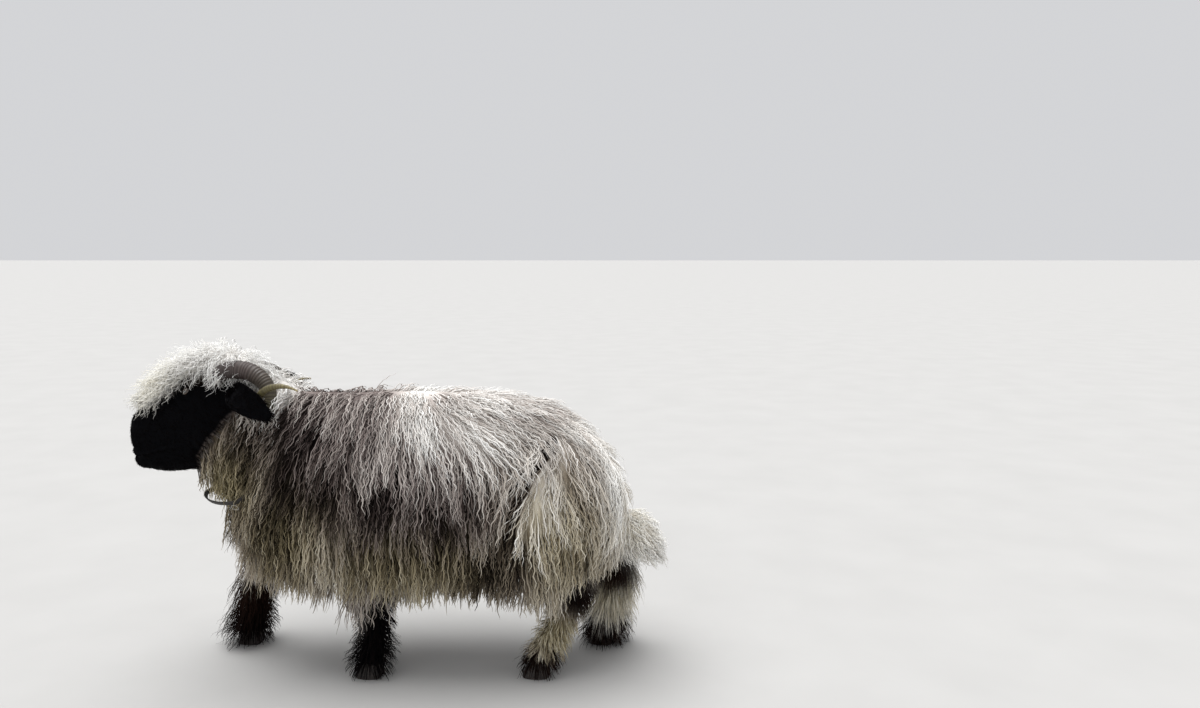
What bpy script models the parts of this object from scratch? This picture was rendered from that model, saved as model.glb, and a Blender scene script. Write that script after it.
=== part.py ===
"""A horned Valais Blacknose sheep in mid-stride, life size: still model of its body, coat and collar.

Metres, +Z up. The sheep faces -X and its left side is toward -Y. The origin is on the floor,
under the middle of the animal, and every foot stands at z = 0.
"""
import math
import random

import bmesh
import bpy
from mathutils import Matrix, Vector

# Driving sizes of the animal, coat included
LEG_SPREAD = 0.115
CORONET_HEIGHT = 0.042
COAT_HEM = 0.012

# Gaps between neighbours: at a seam, around a piece that is let in, and around one that stands free
SEAM = 0.0003
CLEARANCE = 0.0004
FREE = 0.0010

OBJECT_NAME = "valais_blacknose_sheep"
CUTTER_NAME = "cutters"
SOLVER = "MANIFOLD"
SEED = 35


# Scene and collections
def clear_scene():
    for old in list(bpy.data.objects):
        bpy.data.objects.remove(old, do_unlink=True)


def new_collection(name):
    made = bpy.data.collections.new(name)
    bpy.context.scene.collection.children.link(made)
    return made


def material(name, colour, roughness, metallic=0.0):
    made = bpy.data.materials.new(name)
    made.use_nodes = True
    shader = made.node_tree.nodes["Principled BSDF"]
    shader.inputs["Base Color"].default_value = (*colour, 1.0)
    shader.inputs["Roughness"].default_value = roughness
    shader.inputs["Metallic"].default_value = metallic
    made.diffuse_color = (*colour, 1.0)
    return made


# Mesh helpers
def mesh_object(name, bm, collection):
    bmesh.ops.triangulate(bm, faces=bm.faces[:])
    bmesh.ops.recalc_face_normals(bm, faces=bm.faces[:])
    mesh = bpy.data.meshes.new(name)
    bm.to_mesh(mesh)
    bm.free()
    made = bpy.data.objects.new(name, mesh)
    collection.objects.link(made)
    return made


def loft(name, rings, collection):
    """A closed body through rings of points, each ring with the same number, capped at both ends."""
    bm = bmesh.new()
    loops = [[bm.verts.new(point) for point in ring] for ring in rings]
    for low, high in zip(loops, loops[1:]):
        for i in range(len(low)):
            j = (i + 1) % len(low)
            bm.faces.new((low[i], low[j], high[j]))
            bm.faces.new((low[i], high[j], high[i]))
    bm.faces.new(loops[0])
    bm.faces.new(loops[-1])
    return mesh_object(name, bm, collection)


def hide_as_guide(thing):
    thing.hide_render = True
    thing.display_type = "WIRE"


def apply_modifiers(thing):
    graph = bpy.context.evaluated_depsgraph_get()
    solid = bpy.data.meshes.new_from_object(thing.evaluated_get(graph))
    thing.modifiers.clear()
    thing.data = solid


def keep_largest(thing):
    """Keeps the one closed surface that holds the most room, and drops the others."""
    bm = bmesh.new()
    bm.from_mesh(thing.data)
    left = set(bm.faces)
    shells = []
    while left:
        shell, todo = set(), [left.pop()]
        while todo:
            face = todo.pop()
            shell.add(face)
            for edge in face.edges:
                for other in edge.link_faces:
                    if other in left:
                        left.discard(other)
                        todo.append(other)
        shells.append(shell)
    shells.sort(key=room_inside, reverse=True)
    for shell in shells[1:]:
        bmesh.ops.delete(bm, geom=list(shell), context="FACES")
    bmesh.ops.triangulate(bm, faces=bm.faces[:])
    bm.to_mesh(thing.data)
    bm.free()


def room_inside(shell):
    total = 0.0
    for face in shell:
        a = face.verts[0].co
        for b, c in zip(face.verts[1:], face.verts[2:]):
            total += a.dot(b.co.cross(c.co))
    return abs(total)


def boolean(thing, pieces, operation, solver):
    """One Boolean of a node with a collection of closed pieces, which are removed afterwards."""
    group = bpy.data.collections.new(thing.name + "_pieces")
    bpy.context.scene.collection.children.link(group)
    for piece in pieces:
        for home in list(piece.users_collection):
            home.objects.unlink(piece)
        group.objects.link(piece)
    step = thing.modifiers.new(operation.lower(), "BOOLEAN")
    step.operand_type = "COLLECTION"
    step.collection = group
    step.operation = operation
    step.solver = solver
    apply_modifiers(thing)
    for piece in pieces:
        bpy.data.objects.remove(piece, do_unlink=True)
    bpy.data.collections.remove(group)
    keep_largest(thing)


def thin_out(thing, ratio):
    """Collapses the shortest crossings that a union of many pieces leaves."""
    step = thing.modifiers.new("thin", "DECIMATE")
    step.decimate_type = "COLLAPSE"
    step.ratio = ratio
    apply_modifiers(thing)
    keep_largest(thing)


def centre_on_floor(collection):
    """Moves every piece alike, so that the origin is the floor point under the middle of them all."""
    points = [vertex.co for thing in collection.objects for vertex in thing.data.vertices]
    low = Vector([min(point[axis] for point in points) for axis in range(3)])
    high = Vector([max(point[axis] for point in points) for axis in range(3)])
    middle = (low + high) / 2
    for thing in collection.objects:
        thing.data.transform(Matrix.Translation((-middle.x, -middle.y, 0.0)))


def finish(thing, look, smooth_angle=40.0):
    thing.data.materials.clear()
    thing.data.materials.append(look)
    thing.data.shade_smooth()
    thing.data.set_sharp_from_angle(angle=math.radians(smooth_angle))


BLOCK_SIZE = 1.6


def half_space(name, point, normal, collection):
    """A large block whose one face lies on the plane through the point, on the side of the normal."""
    bm = bmesh.new()
    bmesh.ops.create_cube(bm, size=BLOCK_SIZE)
    turn = Vector((0.0, 0.0, 1.0)).rotation_difference(normal.normalized()).to_matrix().to_4x4()
    place = Matrix.Translation(point) @ turn @ Matrix.Translation((0.0, 0.0, BLOCK_SIZE / 2))
    bmesh.ops.transform(bm, matrix=place, verts=bm.verts[:])
    made = mesh_object(name, bm, collection)
    hide_as_guide(made)
    return made


# Body forms: each row is the (x, z) of its top, the (x, z) of its bottom and its half width.
# Depth is how far the core lies under the tips of the wool at the top, the sides and the bottom.
TRUNK = {
    "rows": [
        ((-0.335, 0.770), (-0.520, 0.440), 0.118),
        ((-0.285, 0.788), (-0.470, 0.375), 0.155),
        ((-0.215, 0.790), (-0.390, 0.285), 0.208),
        ((-0.110, 0.788), (-0.230, 0.240), 0.244),
        ((0.015, 0.792), (-0.040, 0.225), 0.255),
        ((0.140, 0.790), (0.130, 0.228), 0.258),
        ((0.260, 0.782), (0.270, 0.225), 0.255),
        ((0.370, 0.760), (0.390, 0.185), 0.250),
        ((0.460, 0.722), (0.475, 0.185), 0.235),
        ((0.545, 0.662), (0.555, 0.235), 0.205),
        ((0.602, 0.590), (0.605, 0.300), 0.150),
        ((0.630, 0.520), (0.630, 0.380), 0.080),
    ],
    "sides": 16, "full": 2.35, "sag": 0.10, "depth": (0.018, 0.034, 0.055),
}
NECK = {
    "rows": [
        ((-0.240, 0.780), (-0.430, 0.370), 0.170),
        ((-0.300, 0.796), (-0.480, 0.430), 0.145),
        ((-0.350, 0.822), (-0.520, 0.475), 0.120),
        ((-0.395, 0.856), (-0.552, 0.515), 0.104),
        ((-0.430, 0.880), (-0.580, 0.545), 0.094),
    ],
    "sides": 16, "full": 2.1, "sag": 0.12, "depth": (0.016, 0.022, 0.034),
}
HEAD = {
    "rows": [
        ((-0.350, 0.800), (-0.470, 0.560), 0.070),
        ((-0.430, 0.850), (-0.515, 0.548), 0.082),
        ((-0.490, 0.862), (-0.545, 0.550), 0.086),
        ((-0.550, 0.848), (-0.572, 0.552), 0.084),
        ((-0.605, 0.812), (-0.602, 0.548), 0.076),
        ((-0.655, 0.775), (-0.632, 0.546), 0.067),
        ((-0.700, 0.742), (-0.662, 0.548), 0.062),
        ((-0.728, 0.715), (-0.692, 0.556), 0.056),
        ((-0.742, 0.688), (-0.715, 0.576), 0.047),
        ((-0.746, 0.660), (-0.733, 0.604), 0.030),
    ],
    "sides": 18, "full": 2.3, "sag": 0.0, "depth": (0.0, 0.0, 0.0),
}
FORELOCK = {
    "rows": [
        ((-0.380, 0.865), (-0.420, 0.760), 0.060),
        ((-0.430, 0.905), (-0.470, 0.770), 0.095),
        ((-0.485, 0.918), (-0.520, 0.780), 0.105),
        ((-0.545, 0.905), (-0.565, 0.790), 0.098),
        ((-0.610, 0.882), (-0.590, 0.770), 0.086),
        ((-0.670, 0.838), (-0.630, 0.740), 0.078),
        ((-0.715, 0.790), (-0.670, 0.705), 0.070),
        ((-0.745, 0.745), (-0.700, 0.680), 0.058),
        ((-0.752, 0.715), (-0.720, 0.680), 0.035),
    ],
    "sides": 14, "full": 2.2, "sag": 0.0, "depth": (0.028, 0.028, 0.0),
}
TAIL = {
    "rows": [
        ((0.560, 0.580), (0.545, 0.400), 0.042),
        ((0.590, 0.560), (0.560, 0.380), 0.050),
        ((0.635, 0.460), (0.600, 0.320), 0.060),
        ((0.690, 0.432), (0.640, 0.286), 0.062),
        ((0.728, 0.385), (0.688, 0.286), 0.050),
        ((0.739, 0.345), (0.715, 0.300), 0.026),
    ],
    "sides": 10, "full": 2.1, "sag": 0.0, "depth": (0.012, 0.014, 0.018),
}


def mix(a, b, share):
    return a + (b - a) * share


def form_point(form, place, angle, share=1.0):
    """A point of a form at a place along its rows and an angle from the top; share 0 is core, 1 coat."""
    rows = form["rows"]
    low = max(0, min(int(place), len(rows) - 2))
    blend = place - low
    (top_a, bottom_a, half_a), (top_b, bottom_b, half_b) = rows[low], rows[low + 1]
    top = Vector((mix(top_a[0], top_b[0], blend), 0.0, mix(top_a[1], top_b[1], blend)))
    bottom = Vector((mix(bottom_a[0], bottom_b[0], blend), 0.0, mix(bottom_a[1], bottom_b[1], blend)))
    deep_top, deep_side, deep_bottom = (depth * (1.0 - share) for depth in form["depth"])
    up = (top - bottom).normalized()
    top, bottom = top - up * deep_top, bottom + up * deep_bottom
    power = 2.0 / form["full"]
    rise = math.copysign(abs(math.cos(angle)) ** power, math.cos(angle))
    across = math.copysign(abs(math.sin(angle)) ** power, math.sin(angle))
    y = across * (mix(half_a, half_b, blend) - deep_side) * (1.0 - form["sag"] * rise)
    return (top + bottom) / 2 + (top - bottom) / 2 * rise + Vector((0.0, y, 0.0))


def form_body(name, form, collection, share=0.0):
    """A form's smooth closed body, as its core or as the whole coat."""
    sides = form["sides"]
    angles = [math.tau * (i + 0.5) / sides for i in range(sides)]
    rings = [[form_point(form, place, angle, share) for angle in angles]
             for place in range(len(form["rows"]))]
    return loft(name, rings, collection)


def place_at(form, x, angle):
    """The place along a form's rows where its coat, at this angle, has the given x."""
    low, high = 0.0, len(form["rows"]) - 1.0
    rising = form_point(form, high, angle).x > form_point(form, low, angle).x
    for _ in range(20):
        middle = (low + high) / 2
        if (form_point(form, middle, angle).x < x) == rising:
            low = middle
        else:
            high = middle
    return (low + high) / 2


# Locks: flat, tapered, rooted in the core, lying along the coat
# For each ring: share of the length, rise from core (0) to coat (1), share of the width, of the thickness
LONG_RINGS = ((0.00, -0.55, 0.55, 1.00), (0.30, 0.30, 1.00, 1.00),
              (0.62, 0.62, 0.84, 0.85), (0.87, 0.80, 0.44, 0.60))
SHORT_RINGS = ((0.00, -0.50, 0.60, 1.0), (0.40, 0.35, 1.00, 1.0), (0.78, 0.75, 0.62, 0.7))
TIP_RISE = 0.95
SHORT_STEP = 0.02
PLUMB_ANGLE = math.radians(100.0)
PLUMB_SHARE = 0.55


def lock(name, route, width, thickness, collection, rings=SHORT_RINGS):
    """One closed lock along a route, which gives a point for a share of the length and a rise.

    Its section is a low triangle: a flat underside and a ridge that runs down its middle to the tip.
    """
    loops = []
    bm = bmesh.new()
    for share, rise, wide, thick in rings:
        centre = route(share, rise)
        ahead = (route(share + SHORT_STEP, rise) - route(share - SHORT_STEP, rise)).normalized()
        outward = route(share, rise + 0.5) - route(share, rise - 0.5)
        outward = (outward - ahead * outward.dot(ahead)).normalized()
        across = ahead.cross(outward) * width / 2 * wide
        ridge = outward * thickness * thick
        loops.append([bm.verts.new(point) for point in (centre + across, centre + ridge, centre - across)])
    tip = bm.verts.new(route(1.0, TIP_RISE))
    for low, high in zip(loops, loops[1:]):
        for i in range(3):
            j = (i + 1) % 3
            bm.faces.new((low[i], low[j], high[j]))
            bm.faces.new((low[i], high[j], high[i]))
    for i in range(3):
        bm.faces.new((loops[-1][i], loops[-1][(i + 1) % 3], tip))
    bm.faces.new(loops[0])
    return mesh_object(name, bm, collection)


def route_on(form, side, start, end, sway=0.0, plumb=PLUMB_SHARE):
    """A route over a form from one (place, angle) to another; below its widest part it hangs plumb."""
    def route(share, rise):
        place = mix(start[0], end[0], share) + sway * math.sin(math.tau * share)
        place = min(max(place, 0.0), len(form["rows"]) - 1.0)
        angle = math.radians(mix(start[1], end[1], share))
        point = form_point(form, place, angle, rise)
        if angle > PLUMB_ANGLE:
            point.y = mix(point.y, form_point(form, place, PLUMB_ANGLE, rise).y, plumb)
        return Vector((point.x, -side * point.y, point.z))
    return route


def varied(draw, spread):
    """A factor near one."""
    return 1.0 + draw.uniform(-spread, spread)


def column_locks(name, form, tiers, xs, lean, size, draw, collection, rings=SHORT_RINGS,
                 plumb=PLUMB_SHARE):
    """Tiers of locks that fall from the top line down both sides, set in columns along the body."""
    made = []
    width, thickness = size
    gap = abs(xs[1] - xs[0])
    for tier, (start, end) in enumerate(tiers):
        for column, x in enumerate(xs):
            for side in (1.0, -1.0):
                first = x + gap * (0.5 * (tier % 2) + draw.uniform(-0.14, 0.14))
                angle_a = start + draw.uniform(-3.5, 3.5)
                angle_b = end + draw.uniform(-7.0, 7.0)
                place_a = place_at(form, first, math.radians(angle_a))
                if abs(form_point(form, place_a, math.radians(angle_a)).x - first) > gap / 2:
                    continue
                last = first + lean(first, tier) * varied(draw, 0.4) + draw.uniform(-0.012, 0.012)
                place_b = place_at(form, last, math.radians(angle_b))
                route = route_on(form, side, (place_a, angle_a), (place_b, angle_b),
                                 draw.uniform(-0.06, 0.06), plumb)
                made.append(lock(f"{name}_{tier}_{column}", route, width * varied(draw, 0.14),
                                 thickness * varied(draw, 0.2), collection, rings))
    return made


# Seams between neighbouring parts: a point on the plane and its normal, which points away from the trunk
NECK_SEAM = (Vector((-0.385, 0.0, 0.62)), Vector((-0.88, 0.0, 0.47)))
HEAD_SEAM = (Vector((-0.452, 0.0, 0.72)), Vector((-0.907, 0.0, 0.421)))
LOIN_SEAM = (Vector((0.245, 0.0, 0.5)), Vector((1.0, 0.0, 0.0)))
TAIL_SEAM = (Vector((0.626, 0.0, 0.44)), Vector((0.97, 0.0, -0.24)))


def cut_beyond(thing, seam, collection):
    """Cuts away what lies on the far side of a seam."""
    point, normal = seam
    normal = normal.normalized()
    block = half_space("beyond", point - normal * (SEAM / 2), normal, collection)
    boolean(thing, [block], "DIFFERENCE", SOLVER)


def cut_before(thing, seam, collection):
    """Cuts away what lies on the near side of a seam."""
    point, normal = seam
    normal = normal.normalized()
    block = half_space("before", point + normal * (SEAM / 2), -normal, collection)
    boolean(thing, [block], "DIFFERENCE", SOLVER)


# Where the wool grows: for each tier the angles, from the top line, of its roots and tips
TRUNK_TIERS = ((7.0, 56.0), (36.0, 90.0), (66.0, 122.0), (96.0, 155.0))
TRUNK_COLUMNS = [-0.44 + 0.098 * i for i in range(11)]
TRUNK_LOCK = (0.108, 0.022)
BELLY_TIERS = ((132.0, 172.0),)
BELLY_COLUMNS = [-0.30 + 0.13 * i for i in range(6)]
NECK_TIERS = ((8.0, 54.0), (44.0, 94.0), (84.0, 132.0), (116.0, 160.0))
NECK_COLUMNS = (-0.560, -0.500, -0.440, -0.380)
NECK_LOCK = (0.070, 0.018)
TAIL_TIERS = ((12.0, 66.0), (58.0, 112.0), (100.0, 158.0))
TAIL_COLUMNS = (0.632, 0.668)
TAIL_LOCK = (0.056, 0.014)

# Locks set one by one: (place, angle) of the root, (place, angle) of the tip
RUMP_LOCKS = (
    ((8.7, 12.0), (10.2, 22.0)), ((9.7, 16.0), (11.0, 46.0)), ((9.4, 48.0), (10.6, 84.0)),
    ((10.2, 60.0), (10.9, 122.0)), ((9.7, 92.0), (10.2, 146.0)), ((10.3, 118.0), (10.5, 168.0)),
)
RUMP_LOCK = (0.092, 0.022)
BRISKET_LOCKS = (
    ((0.0, 132.0), (2.0, 128.0)), ((0.1, 152.0), (1.9, 148.0)), ((0.0, 171.0), (1.8, 169.0)),
    ((1.4, 140.0), (3.0, 140.0)), ((1.5, 163.0), (3.0, 160.0)),
)
BRISKET_LOCK = (0.082, 0.020)
THROAT_LOCKS = (((4.0, 152.0), (2.3, 150.0)), ((3.9, 172.0), (2.1, 170.0)))
THROAT_LOCK = (0.060, 0.016)
FORELOCK_TIERS = ((0.7, 3.7, (24.0, 60.0)), (2.8, 6.0, (13.0, 39.0)), (5.1, 8.3, (17.0, 52.0)))
FORELOCK_SPREAD = 1.35
FORELOCK_SIDES = ((1.2, 2.4), (2.9, 4.3), (4.7, 6.2), (6.3, 7.8))
FORELOCK_SIDE_ANGLES = (58.0, 106.0)
FORELOCK_LOCK = (0.062, 0.026)


def trunk_lean(x, tier):
    """How far back a lock's tip lies behind its root: most on top of the rump, little low down."""
    rump = min(max((x - 0.05) / 0.35, 0.0), 1.0)
    return (0.012 + 0.075 * rump) / (1.0 + tier)


def neck_lean(x, tier):
    return 0.020


def tail_lean(x, tier):
    return 0.050


def placed_locks(name, form, places, size, draw, collection, plumb=0.0):
    """Locks from a list of root and tip places, one on each side of the body."""
    made = []
    for number, (root, tip) in enumerate(places):
        for side in (1.0, -1.0):
            first = (root[0] + draw.uniform(-0.1, 0.1), root[1] + draw.uniform(-4.0, 4.0))
            last = (tip[0] + draw.uniform(-0.1, 0.1), tip[1] + draw.uniform(-6.0, 6.0))
            route = route_on(form, side, first, last, plumb=plumb)
            made.append(lock(f"{name}_{number}", route, size[0] * varied(draw, 0.12), size[1], collection))
    return made


def forelock_locks(draw, collection):
    """Curls that fall from the poll forward over the brow, and at the sides to above the eyes."""
    made = []
    width, thickness = FORELOCK_LOCK
    for tier, (root, tip, angles) in enumerate(FORELOCK_TIERS):
        for angle in angles:
            for side in (1.0, -1.0):
                first = (root + draw.uniform(-0.25, 0.25), angle + draw.uniform(-4.0, 4.0))
                last = (tip + draw.uniform(-0.35, 0.25), angle * FORELOCK_SPREAD + draw.uniform(-6.0, 6.0))
                route = route_on(FORELOCK, side, first, last, draw.uniform(-0.1, 0.1))
                made.append(lock(f"forelock_{tier}", route, width * varied(draw, 0.15),
                                 thickness * varied(draw, 0.2), collection))
    for root, tip in FORELOCK_SIDES:
        for side in (1.0, -1.0):
            first = (root + draw.uniform(-0.2, 0.2), FORELOCK_SIDE_ANGLES[0] + draw.uniform(-5.0, 5.0))
            last = (tip + draw.uniform(-0.2, 0.2), FORELOCK_SIDE_ANGLES[1] + draw.uniform(-8.0, 8.0))
            route = route_on(FORELOCK, side, first, last)
            made.append(lock("forelock_side", route, width * varied(draw, 0.15), thickness, collection))
    return made


def all_locks(draw, collection):
    made = column_locks("trunk", TRUNK, TRUNK_TIERS, TRUNK_COLUMNS, trunk_lean, TRUNK_LOCK, draw, collection,
                        LONG_RINGS)
    made += column_locks("belly", TRUNK, BELLY_TIERS, BELLY_COLUMNS, trunk_lean, TRUNK_LOCK, draw, collection,
                         plumb=0.0)
    made += placed_locks("rump", TRUNK, RUMP_LOCKS, RUMP_LOCK, draw, collection, PLUMB_SHARE)
    made += placed_locks("brisket", TRUNK, BRISKET_LOCKS, BRISKET_LOCK, draw, collection)
    made += placed_locks("throat", NECK, THROAT_LOCKS, THROAT_LOCK, draw, collection)
    made += column_locks("neck", NECK, NECK_TIERS, NECK_COLUMNS, neck_lean, NECK_LOCK, draw, collection)
    made += forelock_locks(draw, collection)
    made += column_locks("tail", TAIL, TAIL_TIERS, TAIL_COLUMNS, tail_lean, TAIL_LOCK, draw, collection)
    return made


# Round pieces swept along a path
def swept(name, path, radii, sides, collection, flatten=1.0, up=Vector((0.0, 0.0, 1.0)), grow=0.0):
    """A closed tapering tube: its section is an ellipse, flattened across the given up direction."""
    rings = []
    for i, (point, radius) in enumerate(zip(path, radii)):
        ahead = path[min(i + 1, len(path) - 1)] - path[max(i - 1, 0)]
        ahead.normalize()
        side = ahead.cross(up).normalized()
        over = side.cross(ahead).normalized()
        ring = []
        for k in range(sides):
            angle = math.tau * k / sides
            across = side * math.cos(angle) * (radius + grow)
            ring.append(point + across + over * math.sin(angle) * (radius * flatten + grow))
        rings.append(ring)
    return loft(name, rings, collection)


def extended(path, by):
    """The same path with both its ends moved out."""
    first = path[0] + (path[0] - path[1]).normalized() * by
    last = path[-1] + (path[-1] - path[-2]).normalized() * by
    return [first, *path[1:-1], last]


# Horns: open corkscrews that turn back, down and outward, the right one tighter and lower than the left
HORN_FORMS = {
    1.0: {"centre": Vector((-0.437, -0.055, 0.797)), "drift": Vector((0.150, -0.098, -0.020)),
          "turns": 1.32, "coil": (0.052, 0.036)},
    -1.0: {"centre": Vector((-0.440, -0.055, 0.786)), "drift": Vector((0.130, -0.085, -0.020)),
           "turns": 1.20, "coil": (0.050, 0.026)},
}
HORN_START = math.radians(168.0)
HORN_RADII = (0.0250, 0.0258, 0.0232, 0.0160, 0.0112, 0.0100, 0.0085, 0.0025)
HORN_STEPS = 23
HORN_ROOT = 0.022
HORN_SIDES = 8


def along(values, share):
    """A value read from an evenly spaced list at a share of its length."""
    place = share * (len(values) - 1)
    low = min(int(place), len(values) - 2)
    return values[low] + (values[low + 1] - values[low]) * (place - low)


def horn_path(side):
    form = HORN_FORMS[side]
    points = []
    for i in range(HORN_STEPS):
        share = i / (HORN_STEPS - 1)
        turn = share * form["turns"]
        angle = HORN_START - math.tau * turn
        coil = along(form["coil"], share)
        point = form["centre"] + form["drift"] * turn
        point = point + Vector((math.cos(angle), 0.0, math.sin(angle))) * coil
        points.append(Vector((point.x, side * point.y, point.z)))
    root = points[0] - (points[1] - points[0]).normalized() * HORN_ROOT
    return [root, *points]


def horn(name, side, collection, grow=0.0):
    path = horn_path(side)
    radii = [along(HORN_RADII, max(0, i - 1) / (HORN_STEPS - 1)) for i in range(len(path))]
    if grow:
        path = extended(path, grow)
    up = Vector((0.0, side, 0.0))
    return swept(name, path, radii, HORN_SIDES, collection, up=up, grow=grow)


# Ears: cupped leaves that point back, out and down
EAR_ROOT = Vector((-0.430, -0.060, 0.785))
EAR_TIP = Vector((-0.297, -0.180, 0.730))
EAR_HALF_WIDTHS = (0.013, 0.018, 0.027, 0.034, 0.034, 0.027, 0.009)
EAR_CUP = (0.006, 0.0084, 0.0096, 0.0084, 0.0066, 0.0042, 0.0006)
EAR_FACE = Vector((-0.19, -0.77, 0.38))
EAR_WALL, EAR_RIM = 0.0075, 0.0026
EAR_BOW = -0.058
EAR_CLEAR = 4.0
EAR_ACROSS = 6


def ear(name, side, collection, grow=0.0):
    """A leaf with a hollow front face and a wall that thins toward its rim."""
    root, tip = EAR_ROOT.copy(), EAR_TIP.copy()
    ahead = (tip - root).normalized()
    if grow:
        root, tip = root - ahead * grow, tip + ahead * grow
    face = (EAR_FACE - ahead * EAR_FACE.dot(ahead)).normalized()
    wide = ahead.cross(face).normalized()
    rings = []
    steps = len(EAR_HALF_WIDTHS)
    for i, (half, cup) in enumerate(zip(EAR_HALF_WIDTHS, EAR_CUP)):
        share = i / (steps - 1)
        spine = root.lerp(tip, share) - face * EAR_BOW * math.sin(math.pi * share)
        front, back = [], []
        for k in range(EAR_ACROSS + 1):
            across = 2.0 * k / EAR_ACROSS - 1.0
            hollow = cup * (1.0 - across * across)
            wall = mix(EAR_WALL, EAR_RIM, across * across)
            rim = spine + wide * across * (half + grow)
            front.append(rim - face * (hollow - EAR_CLEAR * grow))
            back.append(rim - face * (hollow + wall + EAR_CLEAR * grow))
        rings.append(front + back[::-1])
    mirrored = [[Vector((p.x, side * p.y, p.z)) for p in ring] for ring in rings]
    return loft(name, mirrored, collection)


# Eyes: balls sunk in the head behind their lids
EYE_PLACE = Vector((-0.552, -0.0715, 0.784))
EYE_RADIUS = 0.0145
EYE_FORWARD = Vector((-0.74, 0.0, -0.67))
EYE_UPWARD = Vector((-0.67, 0.0, 0.74))
LID_STEPS = 6
LID_SWEEP = math.radians(105.0)
LID_LIFTS = {"upper": 0.55, "lower": -0.45}
LID_RADII = (0.0028, 0.0044, 0.0050, 0.0044, 0.0028)
LID_REACH = 1.28
LID_BOW = 0.85
LID_STAND = (0.22, 0.46)
LID_SIDES = 5


def eye_middle(side):
    return Vector((EYE_PLACE.x, side * EYE_PLACE.y, EYE_PLACE.z))


def eye(name, side, collection, grow=0.0):
    bm = bmesh.new()
    bmesh.ops.create_uvsphere(bm, u_segments=10, v_segments=7, radius=EYE_RADIUS + grow)
    bmesh.ops.translate(bm, vec=eye_middle(side), verts=bm.verts[:])
    return mesh_object(name, bm, collection)


def lids(name, side, collection):
    """Two arcs of skin that close over the ball above and below."""
    made = []
    outward = Vector((0.0, -side, 0.0))
    for part, lift in LID_LIFTS.items():
        path, radii = [], []
        for i in range(LID_STEPS + 1):
            sweep = mix(-LID_SWEEP, LID_SWEEP, i / LID_STEPS)
            bow = math.cos(sweep * LID_BOW)
            point = eye_middle(side) + EYE_FORWARD * math.sin(sweep) * EYE_RADIUS * LID_REACH
            point = point + EYE_UPWARD * bow * EYE_RADIUS * lift
            path.append(point + outward * EYE_RADIUS * (LID_STAND[0] + LID_STAND[1] * max(bow, 0.0)))
            radii.append(along(LID_RADII, i / LID_STEPS))
        made.append(swept(f"{name}_{part}", path, radii, LID_SIDES, collection, up=outward))
    return made


# Mouth and nose, placed on the head's own rows as (place, angle)
MOUTH_LINE = ((3.1, 117.0), (4.0, 112.0), (5.0, 109.5), (6.0, 109.5), (7.0, 111.0), (8.0, 118.0),
              (8.8, 132.0))
MOUTH_FRONT = Vector((-0.7375, 0.0, 0.6045))
LIP_RADIUS, LIP_SINK = 0.0065, 0.0015
MOUTH_RADIUS, MOUTH_STAND = 0.0022, 0.0042
LIP_SIDES, MOUTH_SIDES = 5, 4
NOSTRIL_PLACE = (8.62, 50.0)
NOSTRIL_SIZE = (0.0050, 0.0075, 0.0125)
NOSTRIL_TURN = math.radians(38.0)


def head_outward(point, place):
    """The direction away from the head's middle line."""
    middle = (form_point(HEAD, place, 0.0) + form_point(HEAD, place, math.pi)) / 2
    return (point - middle).normalized()


def mouth_path(stand):
    """The line of the mouth from its left corner round the front to the right one, off the skin by stand."""
    left = []
    for place, angle in MOUTH_LINE:
        point = form_point(HEAD, place, math.radians(angle))
        point = point + head_outward(point, place) * stand
        left.append(Vector((point.x, -point.y, point.z)))
    front = MOUTH_FRONT + Vector((-stand, 0.0, 0.0))
    right = [Vector((point.x, -point.y, point.z)) for point in reversed(left)]
    return [*left, front, *right]


def lips(collection):
    path = mouth_path(-LIP_SINK)
    radii = [LIP_RADIUS] * len(path)
    radii[0] = radii[-1] = LIP_RADIUS / 2
    return swept("lips", path, radii, LIP_SIDES, collection)


def mouth(collection):
    """The groove between the lips."""
    path = mouth_path(MOUTH_STAND)
    return swept("mouth", path, [MOUTH_RADIUS] * len(path), MOUTH_SIDES, collection)


def nostril(side, collection):
    """A slanting hollow on each side of the nose."""
    place, angle = NOSTRIL_PLACE
    point = form_point(HEAD, place, math.radians(angle))
    bm = bmesh.new()
    bmesh.ops.create_uvsphere(bm, u_segments=8, v_segments=5, radius=1.0)
    turn = Matrix.Rotation(side * NOSTRIL_TURN, 4, "X")
    spot = Matrix.Translation((point.x, -side * point.y, point.z))
    bmesh.ops.transform(bm, matrix=spot @ turn @ Matrix.Diagonal((*NOSTRIL_SIZE, 1.0)), verts=bm.verts[:])
    return mesh_object("nostril", bm, collection)


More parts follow.
